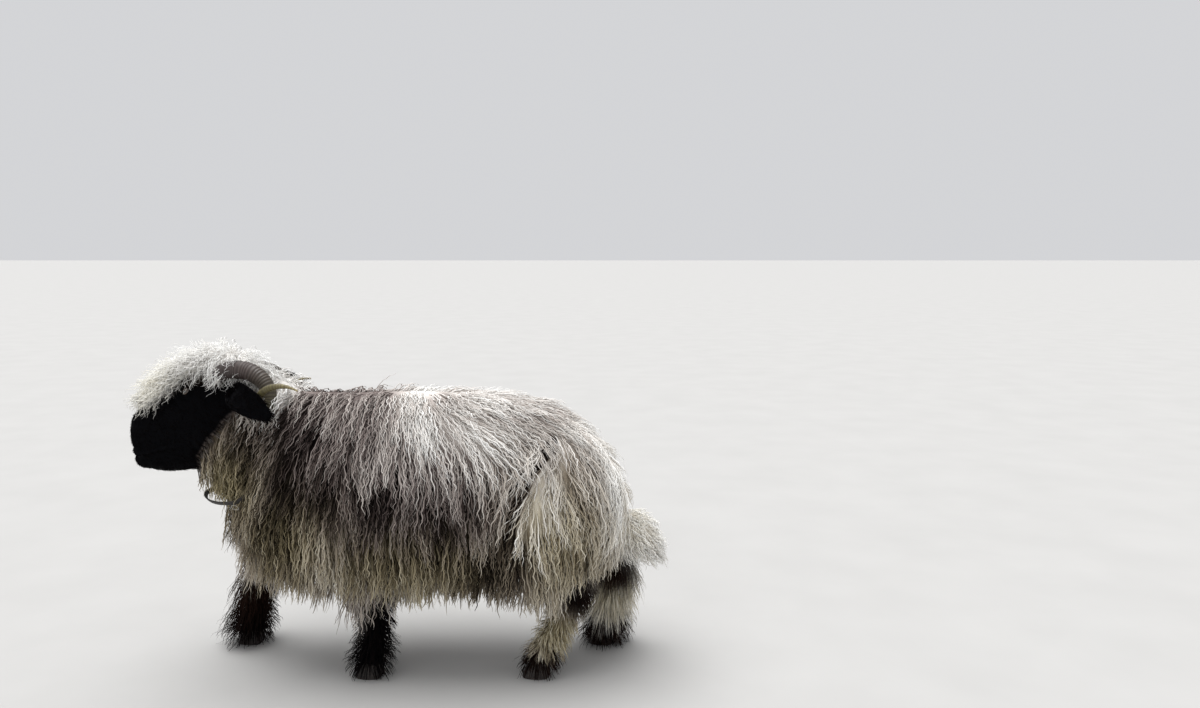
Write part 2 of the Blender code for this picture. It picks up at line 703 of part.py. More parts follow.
# Legs: each is a chain of joints in the side view, with the radii of its core and of its wool
FORE_CORE = (0.040, 0.038, 0.040, 0.046, 0.048)
HIND_CORE = (0.040, 0.037, 0.038, 0.042, 0.044)
LEGS = {
    "foreleg_left": {
        "joints": ((-0.085, 0.375), (-0.060, 0.300), (-0.052, 0.255), (-0.050, 0.190),
                   (-0.052, 0.120), (-0.058, 0.070), (-0.066, CORONET_HEIGHT), (-0.068, COAT_HEM)),
        "coat": (0.060, 0.066, 0.070, 0.072, 0.076, 0.082, 0.086, 0.076),
        "core": (0.060, 0.066, 0.064, *FORE_CORE), "side": 1.0,
    },
    "foreleg_right": {
        "joints": ((-0.300, 0.375), (-0.375, 0.315), (-0.425, 0.275), (-0.440, 0.200),
                   (-0.452, 0.125), (-0.464, 0.072), (-0.476, CORONET_HEIGHT), (-0.480, COAT_HEM)),
        "coat": (0.058, 0.062, 0.064, 0.068, 0.073, 0.080, 0.084, 0.074),
        "core": (0.058, 0.062, 0.062, *FORE_CORE), "side": -1.0,
    },
    "hindleg_left": {
        "joints": ((0.430, 0.375), (0.490, 0.300), (0.503, 0.245), (0.470, 0.180),
                   (0.432, 0.120), (0.408, 0.072), (0.392, CORONET_HEIGHT), (0.388, COAT_HEM)),
        "coat": (0.066, 0.066, 0.062, 0.066, 0.070, 0.068, 0.066, 0.058),
        "core": (0.066, 0.066, 0.056, *HIND_CORE), "side": 1.0,
    },
    "hindleg_right": {
        "joints": ((0.520, 0.375), (0.585, 0.300), (0.612, 0.245), (0.604, 0.180),
                   (0.592, 0.120), (0.580, 0.072), (0.570, CORONET_HEIGHT), (0.566, COAT_HEM)),
        "coat": (0.060, 0.062, 0.058, 0.062, 0.066, 0.068, 0.066, 0.058),
        "core": (0.060, 0.062, 0.054, *HIND_CORE), "side": -1.0,
    },
}
LEG_SIDES = 8
LEG_NARROW = 0.82
LEG_TIERS = ((0.240, 0.120, 5), (0.150, 0.014, 6))
LEG_LOCK = (0.072, 0.014)
LEG_RISE = 0.86


def leg_path(leg):
    return [Vector((x, -leg["side"] * LEG_SPREAD, z)) for x, z in leg["joints"]]


def leg_ring(centre, radius, sides, grow=0.0):
    """A level ring, narrower across than along the body."""
    ring = []
    for k in range(sides):
        angle = math.tau * (k + 0.5) / sides
        x = math.cos(angle) * (radius + grow)
        y = math.sin(angle) * (radius * LEG_NARROW + grow)
        ring.append(centre + Vector((x, y, 0.0)))
    return ring


def leg_body(name, leg, radii, collection, grow=0.0):
    path = extended(leg_path(leg), 2.0 * grow)
    rings = [leg_ring(joint, radius, LEG_SIDES, grow) for joint, radius in zip(path, radii)]
    return loft(name, rings, collection)


def leg_core(name, leg, collection):
    """The leg without its wool; it ends on top of the claws."""
    path = leg_path(leg)[:-1]
    path[-1] = path[-1] + Vector((0.0, 0.0, SEAM))
    rings = [leg_ring(joint, radius, LEG_SIDES) for joint, radius in zip(path, leg["core"])]
    return loft(name, rings, collection)


def leg_route(leg, turn, top, bottom):
    """A route down the leg's wool at one side of the leg."""
    joints = leg_path(leg)

    def route(share, rise):
        z = mix(top, bottom, share)
        low = 0
        while low < len(joints) - 2 and joints[low + 1].z > z:
            low += 1
        blend = (joints[low].z - z) / (joints[low].z - joints[low + 1].z)
        centre = mix(joints[low], joints[low + 1], blend)
        core = mix(leg["core"][low], leg["core"][low + 1], blend)
        coat = mix(leg["coat"][low], leg["coat"][low + 1], blend)
        radius = mix(core, coat, rise * LEG_RISE)
        return centre + Vector((math.cos(turn) * radius, math.sin(turn) * radius * LEG_NARROW, 0.0))
    return route


def leg_locks(name, leg, draw, collection):
    """Short shaggy tufts round the leg, the lowest falling over the hoof."""
    made = []
    for tier, (top, bottom, count) in enumerate(LEG_TIERS):
        for i in range(count):
            turn = math.tau * (i + 0.5 * (tier % 2)) / count + draw.uniform(-0.12, 0.12)
            drop = draw.uniform(0.0, 0.012) if tier == len(LEG_TIERS) - 1 else draw.uniform(-0.010, 0.010)
            route = leg_route(leg, turn, top, bottom + drop)
            made.append(lock(f"{name}_{tier}_{i}", route, LEG_LOCK[0] * varied(draw, 0.15),
                             LEG_LOCK[1] * varied(draw, 0.15), collection))
    return made


# Hooves: two claws under each leg
CLAW_LENGTH, CLAW_WIDTH, CLAW_GAP = 0.070, 0.027, 0.0045
CLAW_CLEAR = 2.0
# A claw's outline from above, as shares of its length and width, and its levels: height, size, set back
CLAW_OUTLINE = ((-0.56, 0.30), (-0.40, 0.78), (-0.05, 1.0), (0.34, 0.92), (0.44, 0.60), (0.44, 0.06),
                (0.0, 0.0), (-0.50, 0.04))
CLAW_LEVELS = ((0.0, 1.0, 0.0), (0.006, 1.0, 0.001), (0.026, 0.90, 0.008), (CORONET_HEIGHT, 0.80, 0.015))
CLAW_TAPER = 0.45


def claw(name, leg, side, collection, grow=0.0):
    """One claw: a wedge with a flat sole, a sloping front wall and a rounded outer wall."""
    foot = leg_path(leg)[-2]
    inner = CLAW_GAP / 2
    middle_y = foot.y + side * (inner + CLAW_WIDTH / 2)
    rings = []
    for height, shrink, back in CLAW_LEVELS:
        lift = {0.0: -CLAW_CLEAR, CORONET_HEIGHT: CLAW_CLEAR}.get(height, 0.0) * grow
        ring = []
        for ahead, across in CLAW_OUTLINE:
            x = foot.x + ahead * CLAW_LENGTH * shrink + back
            y = foot.y + side * (inner + across * CLAW_WIDTH * mix(1.0, shrink, CLAW_TAPER))
            x += math.copysign(CLAW_CLEAR * grow, ahead)
            y += math.copysign(CLAW_CLEAR * grow, y - middle_y)
            ring.append(Vector((x, y, height + lift)))
        rings.append(ring)
    return loft(name, rings, collection)


# Collar: a thin strap that lies level round the throat and climbs to the nape inside the wool
COLLAR_LINE = (
    (-0.537, 0.000, 0.488), (-0.508, -0.078, 0.486), (-0.449, -0.131, 0.488), (-0.385, -0.154, 0.505),
    (-0.335, -0.138, 0.575), (-0.305, -0.114, 0.670), (-0.290, -0.066, 0.738), (-0.285, 0.000, 0.758),
)
COLLAR_MIDDLE = Vector((-0.400, 0.0, 0.600))
COLLAR_BAND = (0.0130, 0.0032)
COLLAR_STEPS = 28


def smooth_loop(points, steps):
    """Evenly counted places on a smooth closed curve through the points."""
    count = len(points)
    places = []
    for i in range(steps):
        at = i * count / steps
        low, share = int(at), at - int(at)
        p0, p1, p2, p3 = (points[(low + k) % count] for k in (-1, 0, 1, 2))
        straight = p1 * 2 + (p2 - p0) * share
        bend = (p0 * 2 - p1 * 5 + p2 * 4 - p3) * share ** 2 + (p1 * 3 - p0 - p2 * 3 + p3) * share ** 3
        places.append((straight + bend) / 2)
    return places


def collar_frames():
    """Places on the strap's middle line, each with its outward direction and the band's own up."""
    left = [Vector(point) for point in COLLAR_LINE]
    right = [Vector((p.x, -p.y, p.z)) for p in left[-2:0:-1]]
    line = smooth_loop(left + right, COLLAR_STEPS)
    frames = []
    for i, point in enumerate(line):
        ahead = (line[(i + 1) % len(line)] - line[i - 1]).normalized()
        outward = point - COLLAR_MIDDLE
        outward = (outward - ahead * outward.dot(ahead)).normalized()
        frames.append((point, outward, ahead.cross(outward).normalized(), ahead))
    return frames


def tube_loop(name, loops, collection):
    """A closed ring-shaped body through loops of points."""
    bm = bmesh.new()
    rings = [[bm.verts.new(point) for point in loop] for loop in loops]
    for i, ring in enumerate(rings):
        after = rings[(i + 1) % len(rings)]
        for k in range(len(ring)):
            m = (k + 1) % len(ring)
            bm.faces.new((ring[k], ring[m], after[m]))
            bm.faces.new((ring[k], after[m], after[k]))
    return mesh_object(name, bm, collection)


def collar_strap(name, collection, grow=0.0):
    width, wall = COLLAR_BAND
    loops = []
    for point, outward, upward, _ in collar_frames():
        corners = []
        for across, out in ((-1, -1), (1, -1), (1, 1), (-1, 1)):
            corners.append(point + upward * across * (width / 2 + grow) + outward * out * (wall / 2 + grow))
        loops.append(corners)
    return tube_loop(name, loops, collection)


RING_PLACE = 5
RING_RADIUS, RING_WIRE = 0.0095, 0.0017
RING_STEPS, RING_SIDES = 12, 5


def collar_ring(name, collection, grow=0.0):
    """A small round ring that hangs under the strap at the left of the throat."""
    point, outward, upward, ahead = collar_frames()[RING_PLACE]
    down = -upward if upward.z > 0 else upward
    drop = COLLAR_BAND[0] / 2 + RING_WIRE + CLEARANCE + RING_RADIUS
    centre = point + down * drop
    loops = []
    for i in range(RING_STEPS):
        angle = math.tau * i / RING_STEPS
        radial = down * math.cos(angle) + ahead * math.sin(angle)
        loop = []
        for k in range(RING_SIDES):
            turn = math.tau * k / RING_SIDES
            offset = radial * math.cos(turn) + outward * math.sin(turn)
            loop.append(centre + radial * RING_RADIUS + offset * (RING_WIRE + grow))
        loops.append(loop)
    return tube_loop(name, loops, collection)


# Assembly: the body is joined whole, cleared of what is let into it, then parted at its seams
BODY_PARTS = {
    "head": ((cut_before, HEAD_SEAM),),
    "neck": ((cut_beyond, HEAD_SEAM), (cut_before, NECK_SEAM)),
    "torso": ((cut_beyond, NECK_SEAM), (cut_beyond, LOIN_SEAM)),
    "hindquarters": ((cut_before, LOIN_SEAM), (cut_beyond, TAIL_SEAM)),
    "tail": ((cut_before, TAIL_SEAM),),
}


# The share of the triangles that is kept once the pieces are joined
KEPT_SHARE = 0.46
LEG_KEPT_SHARE = 0.45


def whole_body(draw, cutters):
    body = form_body("body", TRUNK, cutters)
    cores = {"neck_core": NECK, "face": HEAD, "forelock_core": FORELOCK, "tail_core": TAIL}
    joined = [form_body(name, form, cutters) for name, form in cores.items()]
    joined.append(lips(cutters))
    for side in (1.0, -1.0):
        joined += lids("lids", side, cutters)
    boolean(body, joined + all_locks(draw, cutters), "UNION", SOLVER)
    thin_out(body, KEPT_SHARE)
    away = [leg_body(f"{name}_room", leg, leg["coat"], cutters, CLEARANCE) for name, leg in LEGS.items()]
    for side in (1.0, -1.0):
        away += [horn("horn_room", side, cutters, FREE), eye("eye_room", side, cutters, CLEARANCE),
                 nostril(side, cutters)]
    away.append(mouth(cutters))
    boolean(body, away, "DIFFERENCE", SOLVER)
    boolean(body, [ear("ear_room", side, cutters, FREE) for side in (1.0, -1.0)], "DIFFERENCE", SOLVER)
    collar = [collar_strap("strap_room", cutters, CLEARANCE), collar_ring("ring_room", cutters, CLEARANCE)]
    boolean(body, collar, "DIFFERENCE", SOLVER)
    return body


def build_body(draw, sheep, cutters, looks):
    body = whole_body(draw, cutters)
    for name, cuts in BODY_PARTS.items():
        part = bpy.data.objects.new(name, body.data.copy())
        sheep.objects.link(part)
        for cut, seam in cuts:
            cut(part, seam, cutters)
        finish(part, looks[name])
    bpy.data.objects.remove(body, do_unlink=True)


def build_legs(draw, sheep, cutters, looks):
    for name, leg in LEGS.items():
        thing = leg_core(name, leg, sheep)
        boolean(thing, leg_locks(name, leg, draw, cutters), "UNION", SOLVER)
        thin_out(thing, LEG_KEPT_SHARE)
        reach = leg_body(f"{name}_reach", leg, leg["coat"], cutters, CLEARANCE - SEAM)
        boolean(thing, [reach], "INTERSECT", SOLVER)
        claws = [claw(f"{name}_claw", leg, side, cutters, CLEARANCE) for side in (1.0, -1.0)]
        boolean(thing, claws, "DIFFERENCE", SOLVER)
        finish(thing, looks["leg"])
        for part, side in (("inner", -1.0), ("outer", 1.0)):
            sole = claw(f"hoof_{name}_{part}", leg, -side * leg["side"], sheep)
            finish(sole, looks["hoof"], 30.0)


def build_head_pieces(sheep, looks):
    for side, word in ((1.0, "left"), (-1.0, "right")):
        finish(horn(f"horn_{word}", side, sheep), looks["horn"], 60.0)
        finish(ear(f"ear_{word}", side, sheep), looks["ear"], 60.0)
        finish(eye(f"eye_{word}", side, sheep), looks["eye"], 60.0)
    finish(collar_strap("collar_strap", sheep), looks["strap"], 30.0)
    finish(collar_ring("collar_ring", sheep), looks["metal"], 60.0)


def main():
    clear_scene()
    sheep = new_collection(OBJECT_NAME)
    cutters = new_collection(CUTTER_NAME)
    looks = {
        "torso": material("grey_fleece", (0.42, 0.36, 0.34), 0.9),
        "hindquarters": material("silver_fleece", (0.55, 0.50, 0.46), 0.9),
        "neck": material("cream_fleece", (0.66, 0.58, 0.42), 0.9),
        "head": material("black_face_wool", (0.012, 0.011, 0.012), 0.85),
        "tail": material("tail_fleece", (0.74, 0.66, 0.50), 0.9),
        "leg": material("leg_wool", (0.05, 0.045, 0.04), 0.9),
        "hoof": material("hoof_horn", (0.06, 0.05, 0.045), 0.5),
        "horn": material("ridged_horn", (0.20, 0.17, 0.14), 0.5),
        "ear": material("ear_skin", (0.03, 0.022, 0.02), 0.8),
        "eye": material("eye_gloss", (0.05, 0.03, 0.012), 0.08),
        "strap": material("collar_leather", (0.03, 0.025, 0.02), 0.6),
        "metal": material("collar_steel", (0.55, 0.55, 0.53), 0.35, 1.0),
    }
    draw = random.Random(SEED)
    build_body(draw, sheep, cutters, looks)
    build_legs(draw, sheep, cutters, looks)
    build_head_pieces(sheep, looks)
    centre_on_floor(sheep)


main()
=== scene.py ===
# %% [markdown]
# # A Valais Blacknose sheep, life size
#
# The sheep stands in mid-stride and faces -X, with its left side toward -Y. The solids that carry it are loaded
# first: they give the place of every eye, horn and hoof. All that is seen is then made round them: one skin,
# the wool as tens of thousands of tapering strands, the face, the horns, the hooves and the collar.

# %% Load the frame
import math
import time

import bmesh
import bpy
import numpy as np
from mathutils import Matrix, Vector, noise
from mathutils.bvhtree import BVHTree


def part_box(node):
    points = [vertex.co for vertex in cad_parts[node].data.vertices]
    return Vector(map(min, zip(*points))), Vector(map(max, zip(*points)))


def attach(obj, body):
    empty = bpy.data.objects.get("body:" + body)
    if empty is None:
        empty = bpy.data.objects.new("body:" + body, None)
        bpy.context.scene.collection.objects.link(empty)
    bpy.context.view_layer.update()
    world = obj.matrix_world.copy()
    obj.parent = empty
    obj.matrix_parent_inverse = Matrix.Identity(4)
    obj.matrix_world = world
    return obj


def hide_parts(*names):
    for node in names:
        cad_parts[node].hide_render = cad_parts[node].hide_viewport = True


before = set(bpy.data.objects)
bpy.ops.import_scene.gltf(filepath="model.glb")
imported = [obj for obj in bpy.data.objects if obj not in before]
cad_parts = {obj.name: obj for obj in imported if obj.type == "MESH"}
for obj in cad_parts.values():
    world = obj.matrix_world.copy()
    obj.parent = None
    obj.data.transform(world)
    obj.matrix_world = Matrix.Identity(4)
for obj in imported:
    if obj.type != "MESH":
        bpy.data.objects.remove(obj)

started = time.time()
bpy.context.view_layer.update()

# %% [markdown]
# ## One place for everything
#
# The sheep was drawn with its eye at EYE_PLACE and then centred over the floor. The difference between that
# point and the eye in the frame moves every piece here to where its solid is.

# %% Where the drawing lies in the frame
EYE_PLACE = Vector((-0.552, -0.0715, 0.784))
low, high = (Vector(corner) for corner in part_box("eye_left"))
SHIFT = (low + high) / 2 - EYE_PLACE
print("shift:", [round(value, 4) for value in SHIFT])

# %% [markdown]
# ## Small helpers
#
# Colours are picked as sRGB hex values, the way a paint chart gives them, and one function turns them to the
# linear values that a shader needs. One more adds a node with its settings and its links, for shaders and
# Geometry Nodes alike, and returns its first output, so that nodes can be written like nested formulas.


# %% Colours, nodes and meshes
def linear(code):
    """The linear RGBA of an sRGB hex value."""
    values = []
    for i in (1, 3, 5):
        part = int(code[i:i + 2], 16) / 255
        values.append(part / 12.92 if part <= 0.04045 else ((part + 0.055) / 1.055) ** 2.4)
    return (*values, 1.0)


def add(tree, kind, inputs=(), **settings):
    """Adds a node. Its inputs are values or sockets, by name or in the order in which they show."""
    made = tree.nodes.new(kind)
    for key, value in settings.items():
        setattr(made, key, value)
    shown = [socket for socket in made.inputs if socket.enabled]
    if isinstance(inputs, dict):
        pairs = [(next(s for s in shown if s.name == name), value) for name, value in inputs.items()]
    else:
        pairs = [(socket, value) for socket, value in zip(shown, inputs) if value is not None]
    for socket, value in pairs:
        if isinstance(value, bpy.types.NodeSocket):
            tree.links.new(value, socket)
        else:
            socket.default_value = value
    return next((socket for socket in made.outputs if socket.enabled), None)


def mesh_object(name, points, faces):
    mesh = bpy.data.meshes.new(name)
    mesh.from_pydata([tuple(point) for point in points], [], faces)
    thing = bpy.data.objects.new(name, mesh)
    bpy.context.scene.collection.objects.link(thing)
    turn_outward(thing)
    return thing


def turn_outward(thing):
    bm = bmesh.new()
    bm.from_mesh(thing.data)
    bmesh.ops.recalc_face_normals(bm, faces=bm.faces[:])
    bm.to_mesh(thing.data)
    bm.free()


def lofted(name, rings, closed=False):
    """A body through rings of points: capped at both ends, or closed on itself."""
    count = len(rings[0])
    faces = []
    for r in range(len(rings) if closed else len(rings) - 1):
        a, b = r * count, (r + 1) % len(rings) * count
        faces += [(a + k, a + (k + 1) % count, b + (k + 1) % count, b + k) for k in range(count)]
    if not closed:
        faces.append(tuple(range(count)))
        faces.append(tuple(range((len(rings) - 1) * count, len(rings) * count)))
    return mesh_object(name, [point for ring in rings for point in ring], faces)


def ball(name, centre, radii, turn=None, segments=40):
    """An ellipsoid at a place."""
    bm = bmesh.new()
    bmesh.ops.create_uvsphere(bm, u_segments=segments, v_segments=segments // 2, radius=1.0)
    shape = Matrix.Diagonal((*radii, 1.0))
    place = Matrix.Translation(centre) @ (turn or Matrix.Identity(4)) @ shape
    bmesh.ops.transform(bm, matrix=place, verts=bm.verts[:])
    thing = mesh_object(name, [], [])
    bm.to_mesh(thing.data)
    bm.free()
    return thing


def apply_all(thing):
    """Turns an object's modifiers into its mesh."""
    graph = bpy.context.evaluated_depsgraph_get()
    made = bpy.data.meshes.new_from_object(thing.evaluated_get(graph), depsgraph=graph)
    thing.modifiers.clear()
    thing.data = made
    return thing


def remove(things):
    for thing in things:
        bpy.data.objects.remove(thing, do_unlink=True)


def joined(name, things):
    """One object that holds the meshes of several."""
    bm = bmesh.new()
    for thing in things:
        bm.from_mesh(thing.data)
    whole = mesh_object(name, [], [])
    bm.to_mesh(whole.data)
    bm.free()
    remove(things)
    return whole


def boolean(thing, pieces, operation):
    """Joins closed pieces to a thing, or cuts them from it."""
    group = bpy.data.collections.new("operands")
    bpy.context.scene.collection.children.link(group)
    for piece in pieces:
        bpy.context.scene.collection.objects.unlink(piece)
        group.objects.link(piece)
    step = thing.modifiers.new("boolean", "BOOLEAN")
    step.operand_type = "COLLECTION"
    step.collection = group
    step.operation = operation
    step.solver = "MANIFOLD"
    apply_all(thing)
    remove(pieces)
    bpy.data.collections.remove(group)
    return thing


def remeshed(thing, voxel, rounds):
    """Melts overlapping bodies into one smooth closed surface."""
    melt = thing.modifiers.new("melt", "REMESH")
    melt.mode = "VOXEL"
    melt.voxel_size = voxel
    calm = thing.modifiers.new("calm", "SMOOTH")
    calm.iterations = rounds
    return apply_all(thing)


def mix(a, b, share):
    return a + (b - a) * share


def along(values, share):
    """A value read smoothly from an evenly spaced list, at a share of its length."""
    place = min(max(share, 0.0), 1.0) * (len(values) - 1)
    low = min(int(place), len(values) - 2)
    t = place - low
    p0, p1 = values[max(low - 1, 0)], values[low]
    p2, p3 = values[low + 1], values[min(low + 2, len(values) - 1)]
    bend = (p0 * 2 - p1 * 5 + p2 * 4 - p3) * t ** 2 + (p1 * 3 - p0 - p2 * 3 + p3) * t ** 3
    return (p1 * 2 + (p2 - p0) * t + bend) / 2


# %% [markdown]
# ## The body under the wool
#
# Under its wool a sheep is a smooth barrel with a neck, a wedge of a head and thin legs. Each of these is a row
# of sections seen from the side: the top point, the bottom point and the half width, outside the wool. The
# depth says how far the skin lies under the tips of the wool at the top, the sides and the bottom.
# A section is a superellipse: "full" 2 is an ellipse, and more makes it squarer. "sag" makes it wider low down.

# %% The rows of sections
TRUNK = {
    "rows": (
        ((-0.335, 0.770), (-0.520, 0.440), 0.118), ((-0.285, 0.788), (-0.470, 0.375), 0.155),
        ((-0.215, 0.790), (-0.390, 0.285), 0.208), ((-0.110, 0.788), (-0.230, 0.240), 0.244),
        ((0.015, 0.792), (-0.040, 0.225), 0.255), ((0.140, 0.790), (0.130, 0.228), 0.258),
        ((0.260, 0.782), (0.270, 0.225), 0.255), ((0.370, 0.760), (0.390, 0.185), 0.250),
        ((0.460, 0.722), (0.475, 0.185), 0.235), ((0.545, 0.662), (0.555, 0.235), 0.205),
        ((0.602, 0.590), (0.605, 0.300), 0.150), ((0.630, 0.520), (0.630, 0.380), 0.080),
    ),
    "full": 2.35, "sag": 0.10, "depth": (0.022, 0.040, 0.060),
}
NECK = {
    "rows": (
        ((-0.240, 0.792), (-0.420, 0.370), 0.170), ((-0.300, 0.826), (-0.465, 0.430), 0.145),
        ((-0.350, 0.845), (-0.500, 0.478), 0.120), ((-0.395, 0.870), (-0.532, 0.518), 0.104),
        ((-0.430, 0.885), (-0.572, 0.548), 0.094),
    ),
    "full": 2.1, "sag": 0.12, "depth": (0.030, 0.032, 0.045),
}
HEAD = {
    "rows": (
        ((-0.350, 0.800), (-0.470, 0.560), 0.070), ((-0.430, 0.850), (-0.515, 0.548), 0.082),
        ((-0.490, 0.862), (-0.545, 0.550), 0.086), ((-0.550, 0.848), (-0.572, 0.552), 0.084),
        ((-0.605, 0.812), (-0.602, 0.548), 0.076), ((-0.655, 0.775), (-0.632, 0.546), 0.067),
        ((-0.700, 0.742), (-0.662, 0.548), 0.062), ((-0.728, 0.715), (-0.692, 0.556), 0.056),
        ((-0.735, 0.688), (-0.709, 0.576), 0.047), ((-0.738, 0.660), (-0.726, 0.604), 0.030),
    ),
    "full": 2.3, "sag": 0.0, "depth": (0.003, 0.003, 0.003),
}
FORELOCK = {
    "rows": (
        ((-0.345, 0.858), (-0.400, 0.760), 0.060), ((-0.410, 0.905), (-0.460, 0.770), 0.095),
        ((-0.485, 0.918), (-0.520, 0.780), 0.105), ((-0.545, 0.905), (-0.565, 0.790), 0.098),
        ((-0.610, 0.882), (-0.590, 0.770), 0.086), ((-0.670, 0.838), (-0.630, 0.740), 0.078),
        ((-0.715, 0.790), (-0.670, 0.705), 0.070), ((-0.745, 0.745), (-0.700, 0.680), 0.058),
        ((-0.752, 0.715), (-0.720, 0.680), 0.035),
    ),
    "full": 2.2, "sag": 0.0, "depth": (0.040, 0.040, 0.0),
}
TAIL = {
    "rows": (
        ((0.560, 0.580), (0.545, 0.400), 0.042), ((0.590, 0.560), (0.560, 0.380), 0.050),
        ((0.635, 0.460), (0.600, 0.320), 0.060), ((0.690, 0.432), (0.640, 0.286), 0.062),
        ((0.728, 0.385), (0.688, 0.286), 0.050), ((0.739, 0.345), (0.715, 0.300), 0.026),
    ),
    "full": 2.1, "sag": 0.0, "depth": (0.020, 0.022, 0.034),
}
FORM_SIDES = 48
STEPS_A_ROW = 4


def form_point(form, place, angle, share=0.0):
    """A point of a form at a place along its rows and an angle from the top; share 0 is skin, 1 wool."""
    rows = form["rows"]
    at = place / (len(rows) - 1)
    top = Vector((along([row[0][0] for row in rows], at), 0.0, along([row[0][1] for row in rows], at)))
    bottom = Vector((along([row[1][0] for row in rows], at), 0.0, along([row[1][1] for row in rows], at)))
    half = along([row[2] for row in rows], at)
    deep_top, deep_side, deep_bottom = (depth * (1.0 - share) for depth in form["depth"])
    up = (top - bottom).normalized()
    top, bottom = top - up * deep_top, bottom + up * deep_bottom
    power = 2.0 / form["full"]
    rise = math.copysign(abs(math.cos(angle)) ** power, math.cos(angle))
    across = math.copysign(abs(math.sin(angle)) ** power, math.sin(angle))
    y = across * (half - deep_side) * (1.0 - form["sag"] * rise)
    return (top + bottom) / 2 + (top - bottom) / 2 * rise + Vector((0.0, y, 0.0))


def form_body(name, form):
    steps = (len(form["rows"]) - 1) * STEPS_A_ROW
    angles = [math.tau * k / FORM_SIDES for k in range(FORM_SIDES)]
    rings = [[form_point(form, i / STEPS_A_ROW, angle) for angle in angles] for i in range(steps + 1)]
    return lofted(name, rings)


# %% [markdown]
# ## The legs
#
# Each leg is a chain of joints in the side view, with the skin's radius at each: a broad forearm or thigh that
# vanishes in the belly wool, a knobbly knee or hock, a thin cannon bone and a wider pastern on the hoof.

# %% The legs' joints
CORONET_HEIGHT = 0.042
COAT_HEM = 0.012
LEG_SPREAD = 0.115
LEG_NARROW = 0.82
FORE_SKIN = (0.054, 0.052, 0.042, 0.033, 0.028, 0.034, 0.035)
HIND_SKIN = (0.056, 0.054, 0.040, 0.032, 0.028, 0.033, 0.034)
LEGS = {
    "foreleg_left": {
        "joints": ((-0.085, 0.375), (-0.060, 0.300), (-0.052, 0.255), (-0.050, 0.190),
                   (-0.052, 0.120), (-0.058, 0.070), (-0.066, CORONET_HEIGHT)),
        "skin": FORE_SKIN, "side": 1.0,
    },
    "foreleg_right": {
        "joints": ((-0.300, 0.375), (-0.375, 0.315), (-0.425, 0.275), (-0.440, 0.200),
                   (-0.452, 0.125), (-0.464, 0.072), (-0.476, CORONET_HEIGHT)),
        "skin": FORE_SKIN, "side": -1.0,
    },
    "hindleg_left": {
        "joints": ((0.430, 0.375), (0.490, 0.300), (0.503, 0.245), (0.470, 0.180),
                   (0.432, 0.120), (0.408, 0.072), (0.392, CORONET_HEIGHT)),
        "skin": HIND_SKIN, "side": 1.0,
    },
    "hindleg_right": {
        "joints": ((0.520, 0.375), (0.585, 0.300), (0.612, 0.245), (0.604, 0.180),
                   (0.592, 0.120), (0.580, 0.072), (0.570, CORONET_HEIGHT)),
        "skin": HIND_SKIN, "side": -1.0,
    },
}
LEG_SIDES, LEG_STEPS = 24, 28


def leg_joints(leg):
    return [Vector((x, -leg["side"] * LEG_SPREAD, z)) for x, z in leg["joints"]]


def leg_body(name, leg):
    joints = leg_joints(leg)
    rings = []
    for i in range(LEG_STEPS + 1):
        share = i / LEG_STEPS
        centre, radius = along(joints, share), along(leg["skin"], share)
        turns = [math.tau * k / LEG_SIDES for k in range(LEG_SIDES)]
        rings.append([centre + Vector((math.cos(turn), math.sin(turn) * LEG_NARROW, 0.0)) * radius
                      for turn in turns])
    return lofted(name, rings)


# %% [markdown]
# ## One skin for the body
#
# The forms overlap, so they are melted into one closed surface with a voxel remesh. It loses their edges, as
# skin over flesh does. The head gets smaller voxels, because its lids and lips are only millimetres thick.

# %% Melt the body
BODY_VOXEL, HEAD_VOXEL = 0.0075, 0.0030
forms = {"trunk": TRUNK, "neck": NECK, "poll": FORELOCK, "tail": TAIL}
body_forms = [form_body(name, form) for name, form in forms.items()]
body_forms += [leg_body(name, leg) for name, leg in LEGS.items()]
skin = remeshed(joined("skin", body_forms), BODY_VOXEL, 6)
print("body skin:", len(skin.data.polygons), "faces")

# %% [markdown]
# ## The head
#
# A Valais Blacknose has a short, broad, straight-nosed head. Ellipsoids add the bony rims over the eyes, the
# jaw muscle, the nose and the chin to the wedge, and a shell of lid round each eyeball. Cut into it are the
# slit between the lids, the nostrils and the line of the mouth.

# %% Places on the head
SIDES = {"left": 1.0, "right": -1.0}
EYE_RADIUS = 0.0145
EYE_FORWARD = Vector((-0.74, 0.0, -0.67))
EYE_UPWARD = Vector((-0.67, 0.0, 0.74))
LID_WALL = 0.0026
MOUTH_LINE = ((3.1, 117.0), (4.0, 112.0), (5.0, 109.5), (6.0, 109.5), (7.0, 111.0), (8.0, 118.0), (8.8, 132.0))
MOUTH_FRONT = Vector((-0.7305, 0.0, 0.6045))
LIP_RADIUS = 0.0062
MOUTH_RADIUS = 0.0016
NOSTRIL_PLACE = (8.62, 50.0)
NOSTRIL_SIZE = (0.0050, 0.0065, 0.0115)
NOSTRIL_TURN = math.radians(38.0)
HEAD_SWELLINGS = {
    "brow": ((-0.545, 0.052, 0.806), (0.036, 0.026, 0.014)),
    "cheek": ((-0.515, 0.050, 0.665), (0.050, 0.036, 0.062)),
    "cheekbone": ((-0.590, 0.058, 0.740), (0.045, 0.016, 0.012)),
    "nose_wing": ((-0.710, 0.028, 0.664), (0.018, 0.022, 0.026)),
    "chin": ((-0.694, 0.012, 0.586), (0.036, 0.030, 0.028)),
    "muzzle": ((-0.696, 0.012, 0.630), (0.033, 0.034, 0.040)),
}


def mirrored(point, side):
    return Vector((point[0], -side * abs(point[1]), point[2]))


